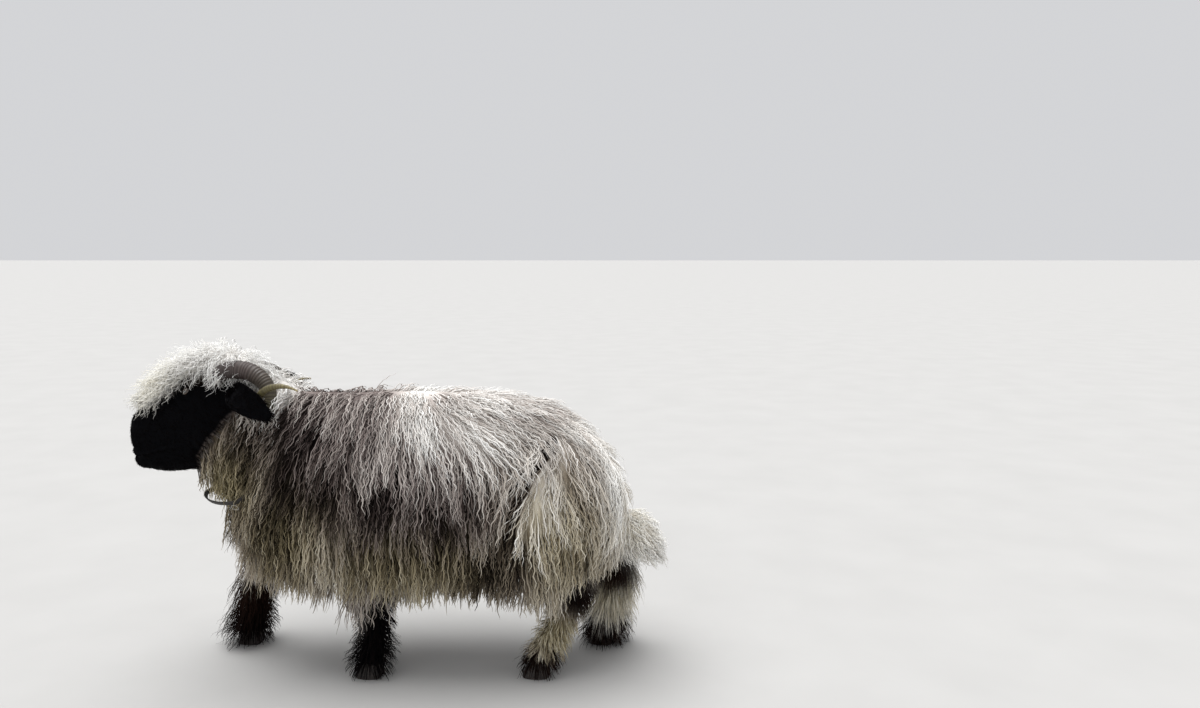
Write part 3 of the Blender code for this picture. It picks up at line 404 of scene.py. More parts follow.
def mouth_path(stand):
    """The line of the mouth from its left corner round the front to the right one."""
    left = []
    for place, angle in MOUTH_LINE:
        point = form_point(HEAD, place, math.radians(angle))
        middle = (form_point(HEAD, place, 0.0) + form_point(HEAD, place, math.pi)) / 2
        point = point + (point - middle).normalized() * stand
        left.append(Vector((point.x, -point.y, point.z)))
    right = [Vector((point.x, -point.y, point.z)) for point in reversed(left)]
    return [*left, MOUTH_FRONT + Vector((-stand, 0.0, 0.0)), *right]


def tube(name, path, radii, sides=12, steps=None, flatten=1.0, up=Vector((0.0, 0.0, 1.0))):
    """A closed tapering tube along a smooth path."""
    steps = steps or len(path) * 6
    line = [along(path, i / steps) for i in range(steps + 1)]
    rings = []
    for i, point in enumerate(line):
        ahead = (line[min(i + 1, steps)] - line[max(i - 1, 0)]).normalized()
        across = ahead.cross(up).normalized()
        over = across.cross(ahead)
        radius = along(radii, i / steps)
        turns = [math.tau * k / sides for k in range(sides)]
        rings.append([point + (across * math.cos(t) + over * math.sin(t) * flatten) * radius for t in turns])
    return lofted(name, rings)


def lid_slit(side):
    """The almond between the lids, as a lens that points out of the head."""
    centre = mirrored(EYE_PLACE, side)
    outward = Vector((0.0, -side, 0.0))
    rings = []
    for depth in (0.2, 2.2):
        ring = []
        for k in range(32):
            turn = math.tau * k / 32
            ahead = math.cos(turn) * 1.06
            height = math.sin(turn) * abs(math.sin(turn)) ** 0.35 * (0.60 if math.sin(turn) > 0 else 0.50)
            offset = EYE_FORWARD * ahead + EYE_UPWARD * height + outward * depth
            ring.append(centre + offset * EYE_RADIUS)
        rings.append(ring)
    return lofted("slit", rings)


def nostril(side):
    place, angle = NOSTRIL_PLACE
    point = form_point(HEAD, place, math.radians(angle))
    spot = Vector((point.x, -side * point.y, point.z))
    return ball("nostril", spot, NOSTRIL_SIZE, Matrix.Rotation(side * NOSTRIL_TURN, 4, "X"), 24)


# %% Model the head
lip_path = mouth_path(-0.0020)
lip_radii = [LIP_RADIUS / 2, *[LIP_RADIUS] * (len(lip_path) - 2), LIP_RADIUS / 2]
head_forms = [form_body("wedge", HEAD), tube("lips", lip_path, lip_radii)]
for side in SIDES.values():
    head_forms += [ball(name, mirrored(place, side), size) for name, (place, size) in HEAD_SWELLINGS.items()]
    rim = mirrored(EYE_PLACE, side) + Vector((0.0, side * 0.006, 0.0))
    head_forms.append(ball("eye_rim", rim, (0.027, 0.017, 0.023)))
    head_forms.append(ball("lids", mirrored(EYE_PLACE, side), (EYE_RADIUS + LID_WALL,) * 3))
head = remeshed(joined("head", head_forms), HEAD_VOXEL, 3)
cuts = [tube("mouth", mouth_path(0.0036), [MOUTH_RADIUS] * 3, sides=8, steps=90)]
for side in SIDES.values():
    cuts += [ball("socket", mirrored(EYE_PLACE, side), (EYE_RADIUS + 0.0004,) * 3), lid_slit(side), nostril(side)]
boolean(head, cuts, "DIFFERENCE")
print("head skin:", len(head.data.polygons), "faces")

# %% [markdown]
# ## The ears
#
# The ears hang back and outward under the horns, as long leaves that are cupped along their length. Each is a
# row of crescents: a hollow front, a back a few millimetres behind it, and a rim where they meet.

# %% Model the ears
EAR_ROOT = Vector((-0.430, -0.060, 0.785))
EAR_TIP = Vector((-0.297, -0.180, 0.730))
EAR_SUNK = -0.14
EAR_HALF_WIDTHS = (0.013, 0.018, 0.027, 0.034, 0.035, 0.030, 0.013)
EAR_CUP = (0.006, 0.0084, 0.0096, 0.0084, 0.0066, 0.0042, 0.0006)
EAR_FACE = Vector((-0.19, -0.77, 0.38))
EAR_WALL, EAR_RIM = 0.0060, 0.0020
EAR_BOW = 0.058
EAR_STEPS, EAR_ACROSS = 40, 20


def ear_axes():
    ahead = (EAR_TIP - EAR_ROOT).normalized()
    face = (EAR_FACE - ahead * EAR_FACE.dot(ahead)).normalized()
    return ahead, face, ahead.cross(face).normalized()


def ear_spine(share):
    """The middle line of the left ear, which bows outward past the horn; below zero it is in the head."""
    _, face, _ = ear_axes()
    return EAR_ROOT.lerp(EAR_TIP, share) + face * EAR_BOW * math.sin(math.pi * max(share, 0.0))


def ear(side):
    _, face, wide = ear_axes()
    rings = []
    for i in range(EAR_STEPS + 1):
        share = mix(EAR_SUNK, 1.0, i / EAR_STEPS)
        half, cup = along(EAR_HALF_WIDTHS, share), along(EAR_CUP, share)
        spine = ear_spine(share)
        front, back = [], []
        for k in range(EAR_ACROSS + 1):
            across = 2.0 * k / EAR_ACROSS - 1.0
            hollow = cup * (1.0 - across * across)
            wall = mix(EAR_WALL, EAR_RIM, across * across)
            rim = spine + wide * across * half
            front.append(rim - face * hollow)
            back.append(rim - face * (hollow + wall))
        ring = front + back[::-1]
        rings.append([Vector((point.x, side * point.y, point.z)) for point in ring])
    return lofted("ear", rings)


# %% Join head and ears to the body
boolean(skin, [head, *[ear(side) for side in SIDES.values()]], "UNION")
turn_outward(skin)
skin.data.shade_smooth()
print("whole skin:", len(skin.data.polygons), "faces,", round(time.time() - started, 1), "s")

# %% [markdown]
# ## Where each kind of coat grows
#
# The skin now gets values at each of its points: how black, how pale and how warm the wool is, how long and how
# deep it lies, and which way. Strands are set on the skin later and read them, and so does the skin's own
# finish, so that skin and wool carry the same markings. Soft steps over named lines and patches give them.

# %% Soft steps and patches
FACE_BACK = ((0.50, -0.565), (0.55, -0.558), (0.60, -0.525), (0.66, -0.490), (0.70, -0.455), (0.74, -0.415),
             (0.77, -0.392), (0.81, -0.388), (0.86, -0.400))
FACE_TOP = ((-0.76, 0.732), (-0.71, 0.742), (-0.64, 0.760), (-0.60, 0.782), (-0.575, 0.808), (-0.55, 0.830),
            (-0.51, 0.846), (-0.485, 0.832), (-0.46, 0.822), (-0.42, 0.822), (-0.34, 0.815))
# Patches seen from the side: x, z, reach along x, reach along z, strength
# Dark patches: the stained wool of shoulder and flank, and painted shade under the belly (0.27, 0.33) and (0.10, 0.36),
# on the chest (-0.30, 0.42), between chest and foreleg (-0.05, 0.41), low on the thigh (0.44, 0.34) and in a line
# across the rump (0.37, 0.695).
STAIN_AND_SHADE_PATCHES = ((-0.24, 0.59, 0.075, 0.16, 1.0), (-0.275, 0.68, 0.04, 0.07, 0.9), (-0.15, 0.50, 0.12, 0.10, 0.75), (0.00, 0.48, 0.12, 0.08, 0.78),
                (0.13, 0.465, 0.17, 0.060, 0.80), (0.27, 0.33, 0.12, 0.06, 0.85), (-0.10, 0.66, 0.15, 0.10, 0.22),
                (-0.05, 0.41, 0.06, 0.07, 0.55), (-0.40, 0.50, 0.05, 0.09, 0.30), (0.37, 0.695, 0.14, 0.018, 0.40), (0.10, 0.36, 0.22, 0.06, 0.62),
                (-0.30, 0.42, 0.13, 0.12, 0.62), (0.44, 0.34, 0.10, 0.06, 0.25), (0.52, 0.50, 0.04, 0.09, 0.25))
# Pale patches: the cream wool of middle, rump, thighs and nape, with painted light along the top of the back; the thin
# strip at (0.00, 0.80) is a painted highlight where the top of the back catches the light.
PALE_AND_LIT_PATCHES = ((0.08, 0.78, 0.085, 0.075, 1.0), (0.11, 0.69, 0.10, 0.08, 0.75), (0.30, 0.70, 0.22, 0.13, 0.75),
                (0.52, 0.62, 0.14, 0.14, 0.60), (0.00, 0.80, 0.60, 0.022, 0.50), (0.61, 0.50, 0.060, 0.22, 0.85),
                (0.43, 0.47, 0.11, 0.11, 0.55), (0.27, 0.63, 0.13, 0.07, 0.70), (-0.33, 0.81, 0.11, 0.05, 1.0), (0.00, 0.32, 0.08, 0.06, 0.10))
WARM_PATCHES = ((-0.43, 0.52, 0.13, 0.13, 1.0), (-0.26, 0.39, 0.16, 0.13, 0.85), (0.05, 0.33, 0.34, 0.09, 0.80),
                (0.46, 0.37, 0.16, 0.18, 0.75), (-0.68, 0.78, 0.10, 0.08, 0.95),
                (0.64, 0.38, 0.12, 0.10, 0.55))
BROWN_PATCHES = ((-0.545, 0.828, 0.045, 0.020, 1.0),)
# These patches give the shanks a brown soil stain, and on the far legs painted shade as well.
EARTH_AND_SHADE_PATCHES = ((0.44, 0.12, 0.12, 0.09, 1.0), (0.60, 0.15, 0.09, 0.12, 1.0), (-0.44, 0.18, 0.10, 0.10, 0.7))
CREASE = ((0.425, 0.635), (0.385, 0.585), (0.352, 0.535), (0.336, 0.470), (0.328, 0.400))


def soft(low, high, values):
    """Zero below low, one above high, and smooth between."""
    share = np.clip((values - low) / (high - low), 0.0, 1.0)
    return share * share * (3.0 - 2.0 * share)


def painted(points, patches):
    total = np.zeros(len(points))
    for x, z, wide, tall, strength in patches:
        gap = ((points[:, 0] - x) / wide) ** 2 + ((points[:, 2] - z) / tall) ** 2
        total = np.maximum(total, strength * np.exp(-gap))
    return total


def over_line(line, values):
    return np.interp(values, [point[0] for point in line], [point[1] for point in line])


def from_path(points, path):
    """How far each point lies, seen from the side, from a chain of (x, z) places."""
    nearest = np.full(len(points), 9.0)
    flat = points[:, (0, 2)]
    for a, b in zip(np.array(path[:-1]), np.array(path[1:])):
        share = np.clip((flat - a) @ (b - a) / ((b - a) @ (b - a)), 0.0, 1.0)
        nearest = np.minimum(nearest, np.linalg.norm(flat - a - share[:, None] * (b - a), axis=1))
    return nearest


def unit(vectors):
    return vectors / np.maximum(np.linalg.norm(vectors, axis=1, keepdims=True), 1e-9)


def read_points(mesh, what, field):
    values = np.empty(len(what) * 3, dtype=np.float32)
    what.foreach_get(field, values)
    return values.reshape(-1, 3).astype(np.float64)


def cloud(points, scale, seed):
    """Smooth noise from -1 to 1 in three directions."""
    offset = Vector((seed, seed * 1.7, -seed))
    return np.array([noise.noise_vector(Vector(point) * scale + offset) for point in points])


# %% Measure the skin
points = read_points(skin.data, skin.data.vertices, "co")
normals = read_points(skin.data, skin.data.vertex_normals, "vector")
x, y, z = points.T
side_sign = np.where(y > 0, 1.0, -1.0)
drift = cloud(points, 9.0, 3.0)
ripple = cloud(points, 24.0, 11.0)

# %% Divide the skin into its coats
shares = np.linspace(0.0, 1.0, 25)
spine = np.array([ear_spine(share) for share in shares])
mirror = np.stack([x, -np.abs(y), z], axis=1)
ear_distance = np.linalg.norm(mirror[:, None, :] - spine[None, :, :], axis=2)
ear_at = np.argmin(ear_distance, axis=1)
ear_axis = unit(np.gradient(spine, axis=0))[ear_at]
ear_axis[:, 1] *= -side_sign
ear_gap = np.min(ear_distance, axis=1)
on_ear = soft(0.06, 0.16, shares[ear_at]) * (1.0 - soft(0.037, 0.043, ear_gap)) * (np.abs(y) > 0.086)
face_front = soft(-0.012, 0.012, over_line(FACE_BACK, z) - x + ripple[:, 0] * 0.012)
under_forelock = soft(-0.010, 0.010, over_line(FACE_TOP, x) - z + ripple[:, 1] * 0.010)
on_face = face_front * under_forelock * (1.0 - on_ear)
on_forelock = (1.0 - under_forelock) * soft(0.325, 0.355, -x) * (1.0 - on_ear)
on_neck = soft(0.285, 0.335, -x - (0.62 - z) * 0.30) * (1.0 - on_forelock) * (1.0 - on_face) * (1.0 - on_ear)
on_tail = soft(-0.004, 0.016, (x - 0.626) * 0.97 - (z - 0.44) * 0.24)
leg_top = 0.225 + 0.085 * soft(0.470, 0.500, x) * (1.0 - soft(0.62, 0.66, x))
on_leg = 1.0 - soft(0.0, 0.050, z - leg_top)
on_trunk = np.clip(1.0 - on_face - on_forelock - on_neck - on_tail - on_leg - on_ear, 0.0, 1.0)

# %% [markdown]
# ## The lie of the wool
#
# Wool parts along the spine and falls down both sides with its own weight, a little backward on the rump. Below
# the widest part it hangs plumb. The forelock spreads from the poll over the brow, and the short hair of the
# face lies back from the nose.

# %% Comb the coat
crease_gap = from_path(points, CREASE)
crease_z, crease_x = [place[1] for place in CREASE[::-1]], [place[0] for place in CREASE[::-1]]
behind_crease = np.interp(z, crease_z, crease_x) < x
in_crease = (1.0 - soft(0.007, 0.018, crease_gap)) * on_trunk
down = np.array([0.0, 0.0, -1.0])


def tangent(directions):
    return directions - normals * np.sum(directions * normals, axis=1, keepdims=True)


def blended(base, other, share):
    return base + (other - base) * share[:, None]


parting = side_sign * (0.25 + 0.75 * (1.0 - soft(0.03, 0.10, np.abs(y))))
lean = 2.0 * soft(-0.02, 0.36, x) * soft(0.58, 0.77, z) * (1.0 - soft(0.46, 0.58, x))
lean += 0.20 * soft(0.10, 0.40, x) * (1.0 - soft(0.48, 0.58, x)) - 0.16 * soft(0.05, 0.25, -x)
fall = unit(tangent(np.stack([lean, parting, np.full(len(points), -1.0)], axis=1)))
from_poll = points - np.array([-0.445, 0.0, 0.860])
from_poll[:, 1] *= 1.25
brow_fall = unit(tangent(unit(from_poll) + down * 0.55))
face_fall = unit(tangent(np.stack([np.full(len(points), 0.80), side_sign * 0.10, np.full(len(points), -0.40)],
                                  axis=1)))
throat_fall = unit(tangent(np.tile(np.array([0.45, 0.0, -0.90]), (len(points), 1))) + normals * 0.35)
at_throat = painted(points, ((-0.50, 0.53, 0.07, 0.06, 1.0),)) * on_neck
leg_fall = unit(np.stack([np.zeros(len(points)), np.zeros(len(points)), np.full(len(points), -1.0)], axis=1)
                + normals * 0.06)
tail_fall = unit(tangent(np.tile(np.array([0.80, 0.0, -0.80]), (len(points), 1))) + normals * 0.25)
crease_slope = np.interp(z, crease_z, np.gradient(crease_x, crease_z))
along_crease = unit(tangent(np.stack([-crease_slope, np.zeros(len(points)), np.full(len(points), -1.0)], axis=1)))
fall = blended(fall, along_crease, (1.0 - soft(0.020, 0.075, crease_gap)) * on_trunk)
lie = blended(fall, brow_fall, on_forelock)
lie = blended(lie, throat_fall, at_throat)
lie = blended(lie, face_fall, on_face)
lie = blended(lie, tail_fall, on_tail)
lie = blended(lie, leg_fall, on_leg)
lie = blended(lie, ear_axis, on_ear)
plumb = soft(0.05, 0.55, -normals[:, 2]) * (1.0 - on_face) * (1.0 - on_ear) * (1.0 - on_tail) * 0.9
lie = blended(unit(lie), np.tile(down, (len(points), 1)), plumb)
unruly = (0.34 - 0.22 * np.clip(on_face + on_leg, 0, 1)) * soft(0.0, 0.06, crease_gap)
lie = unit(unit(lie) + tangent(drift) * unruly[:, None])

# %% [markdown]
# ## Length and depth
#
# The fleece hangs in locks of about 11 cm, shorter on the neck and under the belly, and the face has hair of
# about a centimetre. Depth is how high the strands stand off the skin, and bend is how much they follow it round.

# %% Measure out the wool
# The strap of the collar runs through these places, and the wool above it stops at it
COLLAR_LINE = (
    (-0.537, 0.000, 0.488), (-0.508, -0.078, 0.486), (-0.449, -0.131, 0.488), (-0.385, -0.154, 0.505),
    (-0.335, -0.138, 0.575), (-0.305, -0.114, 0.670), (-0.290, -0.066, 0.738), (-0.285, 0.000, 0.758),
)
STRAP_SHOWS = -0.375
steep = normals[:, 2]
trunk_length = 0.112 - 0.040 * soft(0.2, 0.9, -steep) - 0.016 * soft(0.50, 0.58, x)
above_hock = soft(0.45, 0.49, x) * (1.0 - soft(0.33, 0.40, z)) * on_trunk
length = (on_trunk * trunk_length + on_neck * 0.080 + on_forelock * 0.066 + on_tail * 0.044 + on_leg * (0.030 - 0.006 * soft(0.10, 0.20, z))
          + on_face * 0.0105 + on_ear * 0.0170)
cheek = soft(0.035, 0.0, np.abs(x - np.interp(z, *zip(*FACE_BACK)) + 0.02)) * on_face
length *= 1.0 - 0.45 * above_hock
length *= 1.0 - 0.20 * painted(points, ((0.22, 0.25, 0.17, 0.07, 1.8),)) * on_trunk
length += 0.014 * cheek
muzzle = soft(0.64, 0.72, -x) * on_face
length *= 1.0 - 0.35 * muzzle
brow_edge = soft(0.045, 0.0, z - over_line(FACE_TOP, x)) * on_forelock * soft(0.40, 0.46, -x)
length *= 1.0 - 0.45 * np.maximum(brow_edge, 0.66 * soft(0.67, 0.74, -x) * on_forelock)
near_ear = 1.0 - soft(0.030, 0.075, ear_gap)
length *= 1.0 - 0.45 * near_ear * (on_forelock + on_neck)
trunk_depth = np.where(steep > 0, 0.038 - 0.016 * steep, 0.038 + 0.006 * -steep) - 0.014 * soft(0.50, 0.60, x)
depth = (on_trunk * trunk_depth + on_neck * (0.034 + 0.020 * soft(0.70, 0.76, z)) + on_forelock * (0.045 - 0.014 * soft(0.66, 0.72, -x))
         + on_tail * 0.026 + on_leg * (0.034 + 0.010 * (x < 0.12) - 0.014 * soft(0.07, 0.20, z))
         + 0.012 * painted(points, ((0.43, 0.15, 0.06, 0.05, 1.0),)) * on_leg
         + on_face * 0.0030 + on_ear * 0.0045) * (1.0 - 0.4 * near_ear * (on_forelock + on_neck))
depth *= 1.0 - 0.85 * in_crease
over_strap = z - np.interp(x, [place[0] for place in COLLAR_LINE], [place[2] for place in COLLAR_LINE])
at_strap = (on_neck > 0.5) & (x < STRAP_SHOWS) & (over_strap > -0.01) & (over_strap < 0.11)
length = np.where(at_strap, np.minimum(length, np.maximum(over_strap, 0.014)), length)
depth *= 1.0 - 0.60 * np.exp(-(over_strap / 0.022) ** 2) * (x < STRAP_SHOWS) * on_neck
length *= 1.0 - 0.72 * painted(points, ((-0.560, 0.545, 0.06, 0.06, 1.0),)) * on_neck
skin_tree = BVHTree.FromObject(skin, bpy.context.evaluated_depsgraph_get())


def falls_away(reach):
    """How far the skin drops from each point's tangent plane, by the square of the way there."""
    ahead = points + lie * reach[:, None]
    nearest = np.array([skin_tree.find_nearest(Vector(point))[0] for point in ahead])
    return np.sum((ahead - nearest) * normals, axis=1) / reach ** 2


bend = np.clip(falls_away(length * 0.75), 0.0, 8.0) * (1.0 - soft(0.0, 0.5, -steep))
bend *= 1.0 - on_face - on_ear - on_leg * 0.5
room_below = np.maximum(z - 0.008, 0.004)
length = np.where(lie[:, 2] < -0.5, np.minimum(length, room_below * 0.92), length)
bare = np.zeros(len(points))
for side in SIDES.values():
    gap = np.linalg.norm(points - np.array(mirrored(EYE_PLACE, side)), axis=1)
    bare = np.maximum(bare, 1.0 - soft(0.0165, 0.0205, gap))
mouth_line = np.array([along(mouth_path(0.0), i / 60) for i in range(61)])
mouth_gap = np.min(np.linalg.norm(points[:, None, :] - mouth_line[None, :, :], axis=2), axis=1)
bare = np.maximum(bare, 1.0 - soft(0.0025, 0.0045, mouth_gap))
bare = np.maximum(bare, 1.0 - soft(0.018, 0.026, np.linalg.norm(points - np.array(MOUTH_FRONT + Vector((0.0, 0.0, 0.03))),
                                                                axis=1)) * 0.8)
print("longest wool:", round(float(length.max()), 3), "m")

# %% [markdown]
# ## The markings
#
# The nose, the face, the ears, the knees, the hocks and the feet are black. This animal's fleece is stained
# grey to violet over its shoulder and flank, with pale sun-bleached tips, and stays cream on the belly, the
# thighs, the rump and the tail, ochre where it rubs on the throat. Light and shade are painted into the same
# values: painted shade under the belly and chest, low on the neck and thigh, along a line on the rump, in the
# hip crease and on the far legs, and painted light along the top of the back and on the crease's edge. A
# strand takes the marking of the place where its outer half shows, not of its root, so that the pattern stays
# where it is seen.

# %% Paint the markings
seen = points + lie * (length * 0.62)[:, None]
shown_x, shown_z = seen[:, 0], seen[:, 2]
crease_seen = from_path(seen, CREASE)
# A painted highlight on the edge of the thigh wool just behind the hip crease.
crease_highlight = np.exp(-((crease_seen - 0.028) / 0.014) ** 2) * behind_crease * on_trunk
hind = x >= 0.12
fore_black = (1.0 - soft(0.235, 0.262, shown_z + drift[:, 0] * 0.03)) * ~hind
cream_spot = np.exp(-(((shown_x + 0.088) / 0.016) ** 2 + ((shown_z - 0.160) / 0.030) ** 2)) * (y < -0.12)
fore_black = np.clip(fore_black - cream_spot * 0.9, 0.0, 1.0)
hock_x = np.where(y < 0, 0.512, 0.610)
hock = np.exp(-(((shown_x - hock_x) / 0.060) ** 2 + ((shown_z - 0.228) / 0.060) ** 2) ** 2) * hind
hoof_ring = (1.0 - soft(0.050, 0.075, shown_z + ripple[:, 0] * 0.02)) * hind
leg_black = np.clip(fore_black + hoof_ring + hock, 0, 1) * on_leg
black = np.clip(on_face + on_ear + leg_black, 0, 1)

# Stained wool and painted shade on the lower body darken the fleece together.
dark = painted(seen, STAIN_AND_SHADE_PATCHES) * on_trunk
# Painted light along the top of the back and the painted highlight on the crease's edge lighten the fleece.
light = np.maximum(painted(seen, PALE_AND_LIT_PATCHES), crease_highlight * 0.8)
pale = np.clip(0.60 + light * 0.42 - dark * 0.66 * (1.0 - light * 0.5) + drift[:, 2] * 0.14, 0.0, 1.0)
# Painted shade along the hip crease, where the thigh wool hangs over the flank.
crease_shade = (1.0 - soft(0.008, 0.018, crease_seen)) * (1.0 - soft(0.024, 0.045, crease_gap)) * on_trunk
pale = np.clip(pale - crease_shade * 0.95, 0.0, 1.0)
whole = np.clip(on_forelock + on_neck + on_tail + on_leg, 0.0, 1.0)
# The neck is painted darker below about z 0.70, as shade on the throat and lower neck.
whole_pale = on_forelock + on_neck * (0.42 + 0.58 * soft(0.70, 0.755, z)) + on_tail * 0.96 + on_leg * 0.58
pale = np.where(whole > 0.5, whole_pale / np.maximum(whole, 0.5), pale)
neck_shade = on_neck * painted(seen, ((-0.375, 0.66, 0.060, 0.13, 0.35), (-0.43, 0.69, 0.05, 0.05, 0.25)))
pale = np.clip(pale - neck_shade, 0.0, 1.0)
warm = painted(seen, WARM_PATCHES) * (1.0 - black) + painted(points, BROWN_PATCHES) * on_face
# On the far legs (y > 0) these patches darken much more, as painted shade; on the near legs they are a light soil
# stain.
earth_and_shade = painted(seen, EARTH_AND_SHADE_PATCHES) * on_leg
pale = np.clip(pale - earth_and_shade * np.where(y > 0, 0.26, 0.06), 0.0, 1.0)
markings = np.stack([pale, np.clip(warm + earth_and_shade * 0.8, 0, 1), black], axis=1)
print("black share:", round(float(black.mean()), 3))

# %% Write the values on the skin
ZONES = ("face_hair", "forelock_curls", "neck_wool", "tail_wool", "leg_hair", "ear_hair",
         "fleece_shoulder", "fleece_ribs", "fleece_middle", "fleece_flank", "fleece_loin", "fleece_thigh",
         "fleece_rump")
FLEECE_EDGES = (-0.175, -0.020, 0.125, 0.265, 0.385, 0.500)
fleece_zone = ZONES.index("fleece_shoulder") + np.searchsorted(FLEECE_EDGES, x)
zone = fleece_zone.copy()
for name, share in (("neck_wool", on_neck), ("forelock_curls", on_forelock), ("tail_wool", on_tail),
                    ("leg_hair", on_leg), ("face_hair", on_face), ("ear_hair", on_ear)):
    zone = np.where(share > 0.5, ZONES.index(name), zone)


def write(mesh, name, kind, domain, values):
    made = mesh.attributes.new(name, kind, domain)
    field = "value" if kind in ("FLOAT", "INT") else "vector"
    made.data.foreach_set(field, np.ascontiguousarray(values).ravel())


first_corner = np.empty(len(skin.data.polygons), dtype=np.int32)
skin.data.polygons.foreach_get("loop_start", first_corner)
corner_point = np.empty(len(skin.data.loops), dtype=np.int32)
skin.data.loops.foreach_get("vertex_index", corner_point)
write(skin.data, "markings", "FLOAT_VECTOR", "POINT", markings.astype(np.float32))
write(skin.data, "lie", "FLOAT_VECTOR", "POINT", lie.astype(np.float32))
write(skin.data, "wool", "FLOAT_VECTOR", "POINT", np.stack([length, depth, bend], axis=1).astype(np.float32))
write(skin.data, "cover", "FLOAT", "POINT", (1.0 - bare).astype(np.float32))
write(skin.data, "zone", "INT", "FACE", zone[corner_point[first_corner]].astype(np.int32))
print("zones:", {name: int((zone == i).sum()) for i, name in enumerate(ZONES)})

# %% [markdown]
# ## An unwrap for the bake
#
# The skin is unwrapped by its own shape, in patches that each face one way. Every strand later takes a tiny
# patch of this map, at the place of its root, so that its colours land beside those of its neighbours.

# %% Unwrap the skin
skin.data.uv_layers.new(name="OFBake")
bpy.context.view_layer.objects.active = skin
skin.select_set(True)
bpy.ops.object.mode_set(mode="EDIT")
bpy.ops.mesh.select_all(action="SELECT")
bpy.ops.uv.smart_project(angle_limit=math.radians(66.0), island_margin=0.002)
bpy.ops.object.mode_set(mode="OBJECT")
skin.select_set(False)
print("unwrapped at", round(time.time() - started, 1), "s")

# %% [markdown]
# ## The wool's finish
#
# Raw wool is matt, because its scales scatter the light, and this breed's is greasy and dusty low down. Each
# strand is dark at its root and bleached at its tip, and neighbours differ more than whole locks do. Fine
# streaks along a strand stand for its single fibres, which are 0.03 mm thick in life and are drawn about 1 mm
# wide so that they show. The hair of face, ears and feet is the same fibre, short and black.

# %% Wool and hair colours
COOL_WOOL = ((0.0, "#1d1817"), (0.22, "#463c3a"), (0.45, "#8a7f7b"), (0.68, "#c1b9b3"), (0.87, "#ebe7e2"),
             (1.0, "#faf9f6"))
WARM_WOOL = ((0.0, "#2b2519"), (0.22, "#5c543d"), (0.45, "#9d9170"), (0.68, "#cbc1a2"), (0.87, "#eae3ce"),
             (1.0, "#f9f6ec"))
HAIR_BLACK, HAIR_BROWN = "#060608", "#3a261c"


def ramp(tree, factor, stops):
    """A colour ramp with stops of (position, colour)."""
    socket = add(tree, "ShaderNodeValToRGB", [factor])
    band = socket.node.color_ramp
    for element, (place, colour) in zip(band.elements, (stops[0], stops[-1])):
        element.position, element.color = place, linear(colour)
    for place, colour in stops[1:-1]:
        band.elements.new(place).color = linear(colour)
    return socket


def new_material(name, roughness):
    """A material with its shader, ready for its colour."""
    made = bpy.data.materials.new(name)
    made.use_nodes = True
    shader = made.node_tree.nodes["Principled BSDF"]
    shader.inputs["Roughness"].default_value = roughness
    return made, made.node_tree, shader


def wool_material(name, on_strand):
    """Matt greasy wool: violet-grey or cream by its markings, black on face and feet, with bleached tips."""
    made, tree, shader = new_material(name, 0.90)
    marks = add(tree, "ShaderNodeAttribute", attribute_name="markings").node.outputs["Vector"]
    pale_mark, warm_mark, black_mark = add(tree, "ShaderNodeSeparateXYZ", [marks]).node.outputs
    if on_strand:
        place = add(tree, "ShaderNodeAttribute", attribute_name="strand_at").node.outputs["Vector"]
        luck = add(tree, "ShaderNodeAttribute", attribute_name="luck").node.outputs["Vector"]
        tip = add(tree, "ShaderNodeSeparateXYZ", [place]).node.outputs[1]
        lock_luck, own_luck, _ = add(tree, "ShaderNodeSeparateXYZ", [luck]).node.outputs
        apart = add(tree, "ShaderNodeVectorMath", [luck, (37.0, 53.0, 11.0)], operation="MULTIPLY")
        streak_at = add(tree, "ShaderNodeVectorMath", [place, (5.0, 1.6, 1.0), apart], operation="MULTIPLY_ADD")
        streak = add(tree, "ShaderNodeTexNoise", {"Vector": streak_at, "Scale": 1.0, "Detail": 2.0})
    else:
        tip, lock_luck, own_luck = 0.0, 0.5, 0.35
        where = add(tree, "ShaderNodeTexCoord").node.outputs["Object"]
        streak = add(tree, "ShaderNodeTexNoise", {"Vector": where, "Scale": 420.0, "Detail": 3.0})
    uneven = 0.0
    for value, strength in ((lock_luck, 0.22), (own_luck, 0.50), (tip, 0.36), (streak, 0.36)):
        uneven = add(tree, "ShaderNodeMath", [value, strength, uneven], operation="MULTIPLY_ADD")
    uneven = add(tree, "ShaderNodeMath", [uneven, 0.72], operation="SUBTRACT")
    contrast = add(tree, "ShaderNodeMath", [pale_mark, -0.65, 1.0], operation="MULTIPLY_ADD")
    tone = add(tree, "ShaderNodeMath", [uneven, contrast, pale_mark], operation="MULTIPLY_ADD", use_clamp=True)
    wool = add(tree, "ShaderNodeMix", [warm_mark, ramp(tree, tone, COOL_WOOL), ramp(tree, tone, WARM_WOOL)],
               data_type="RGBA")
    brown = add(tree, "ShaderNodeMath", [own_luck, tip], operation="MULTIPLY")
    brown = add(tree, "ShaderNodeMath", [brown, streak], operation="MULTIPLY")
    brown = add(tree, "ShaderNodeMath", [brown, 0.30], operation="MULTIPLY")
    brown = add(tree, "ShaderNodeMath", [warm_mark, 0.75, brown], operation="MULTIPLY_ADD", use_clamp=True)
    hair = add(tree, "ShaderNodeMix", [brown, linear(HAIR_BLACK), linear(HAIR_BROWN)], data_type="RGBA")
    colour = add(tree, "ShaderNodeMix", [black_mark, wool, hair], data_type="RGBA")
    tree.links.new(colour, shader.inputs["Base Color"])
    raised = add(tree, "ShaderNodeBump", {"Strength": 0.35, "Distance": 0.0008, "Height": streak})
    tree.links.new(raised, shader.inputs["Normal"])
    shader.inputs["Specular IOR Level"].default_value = 0.04
    return made


strand_wool = wool_material("raw_wool_strands", True)
skin_wool = wool_material("wool_base_on_skin", False)

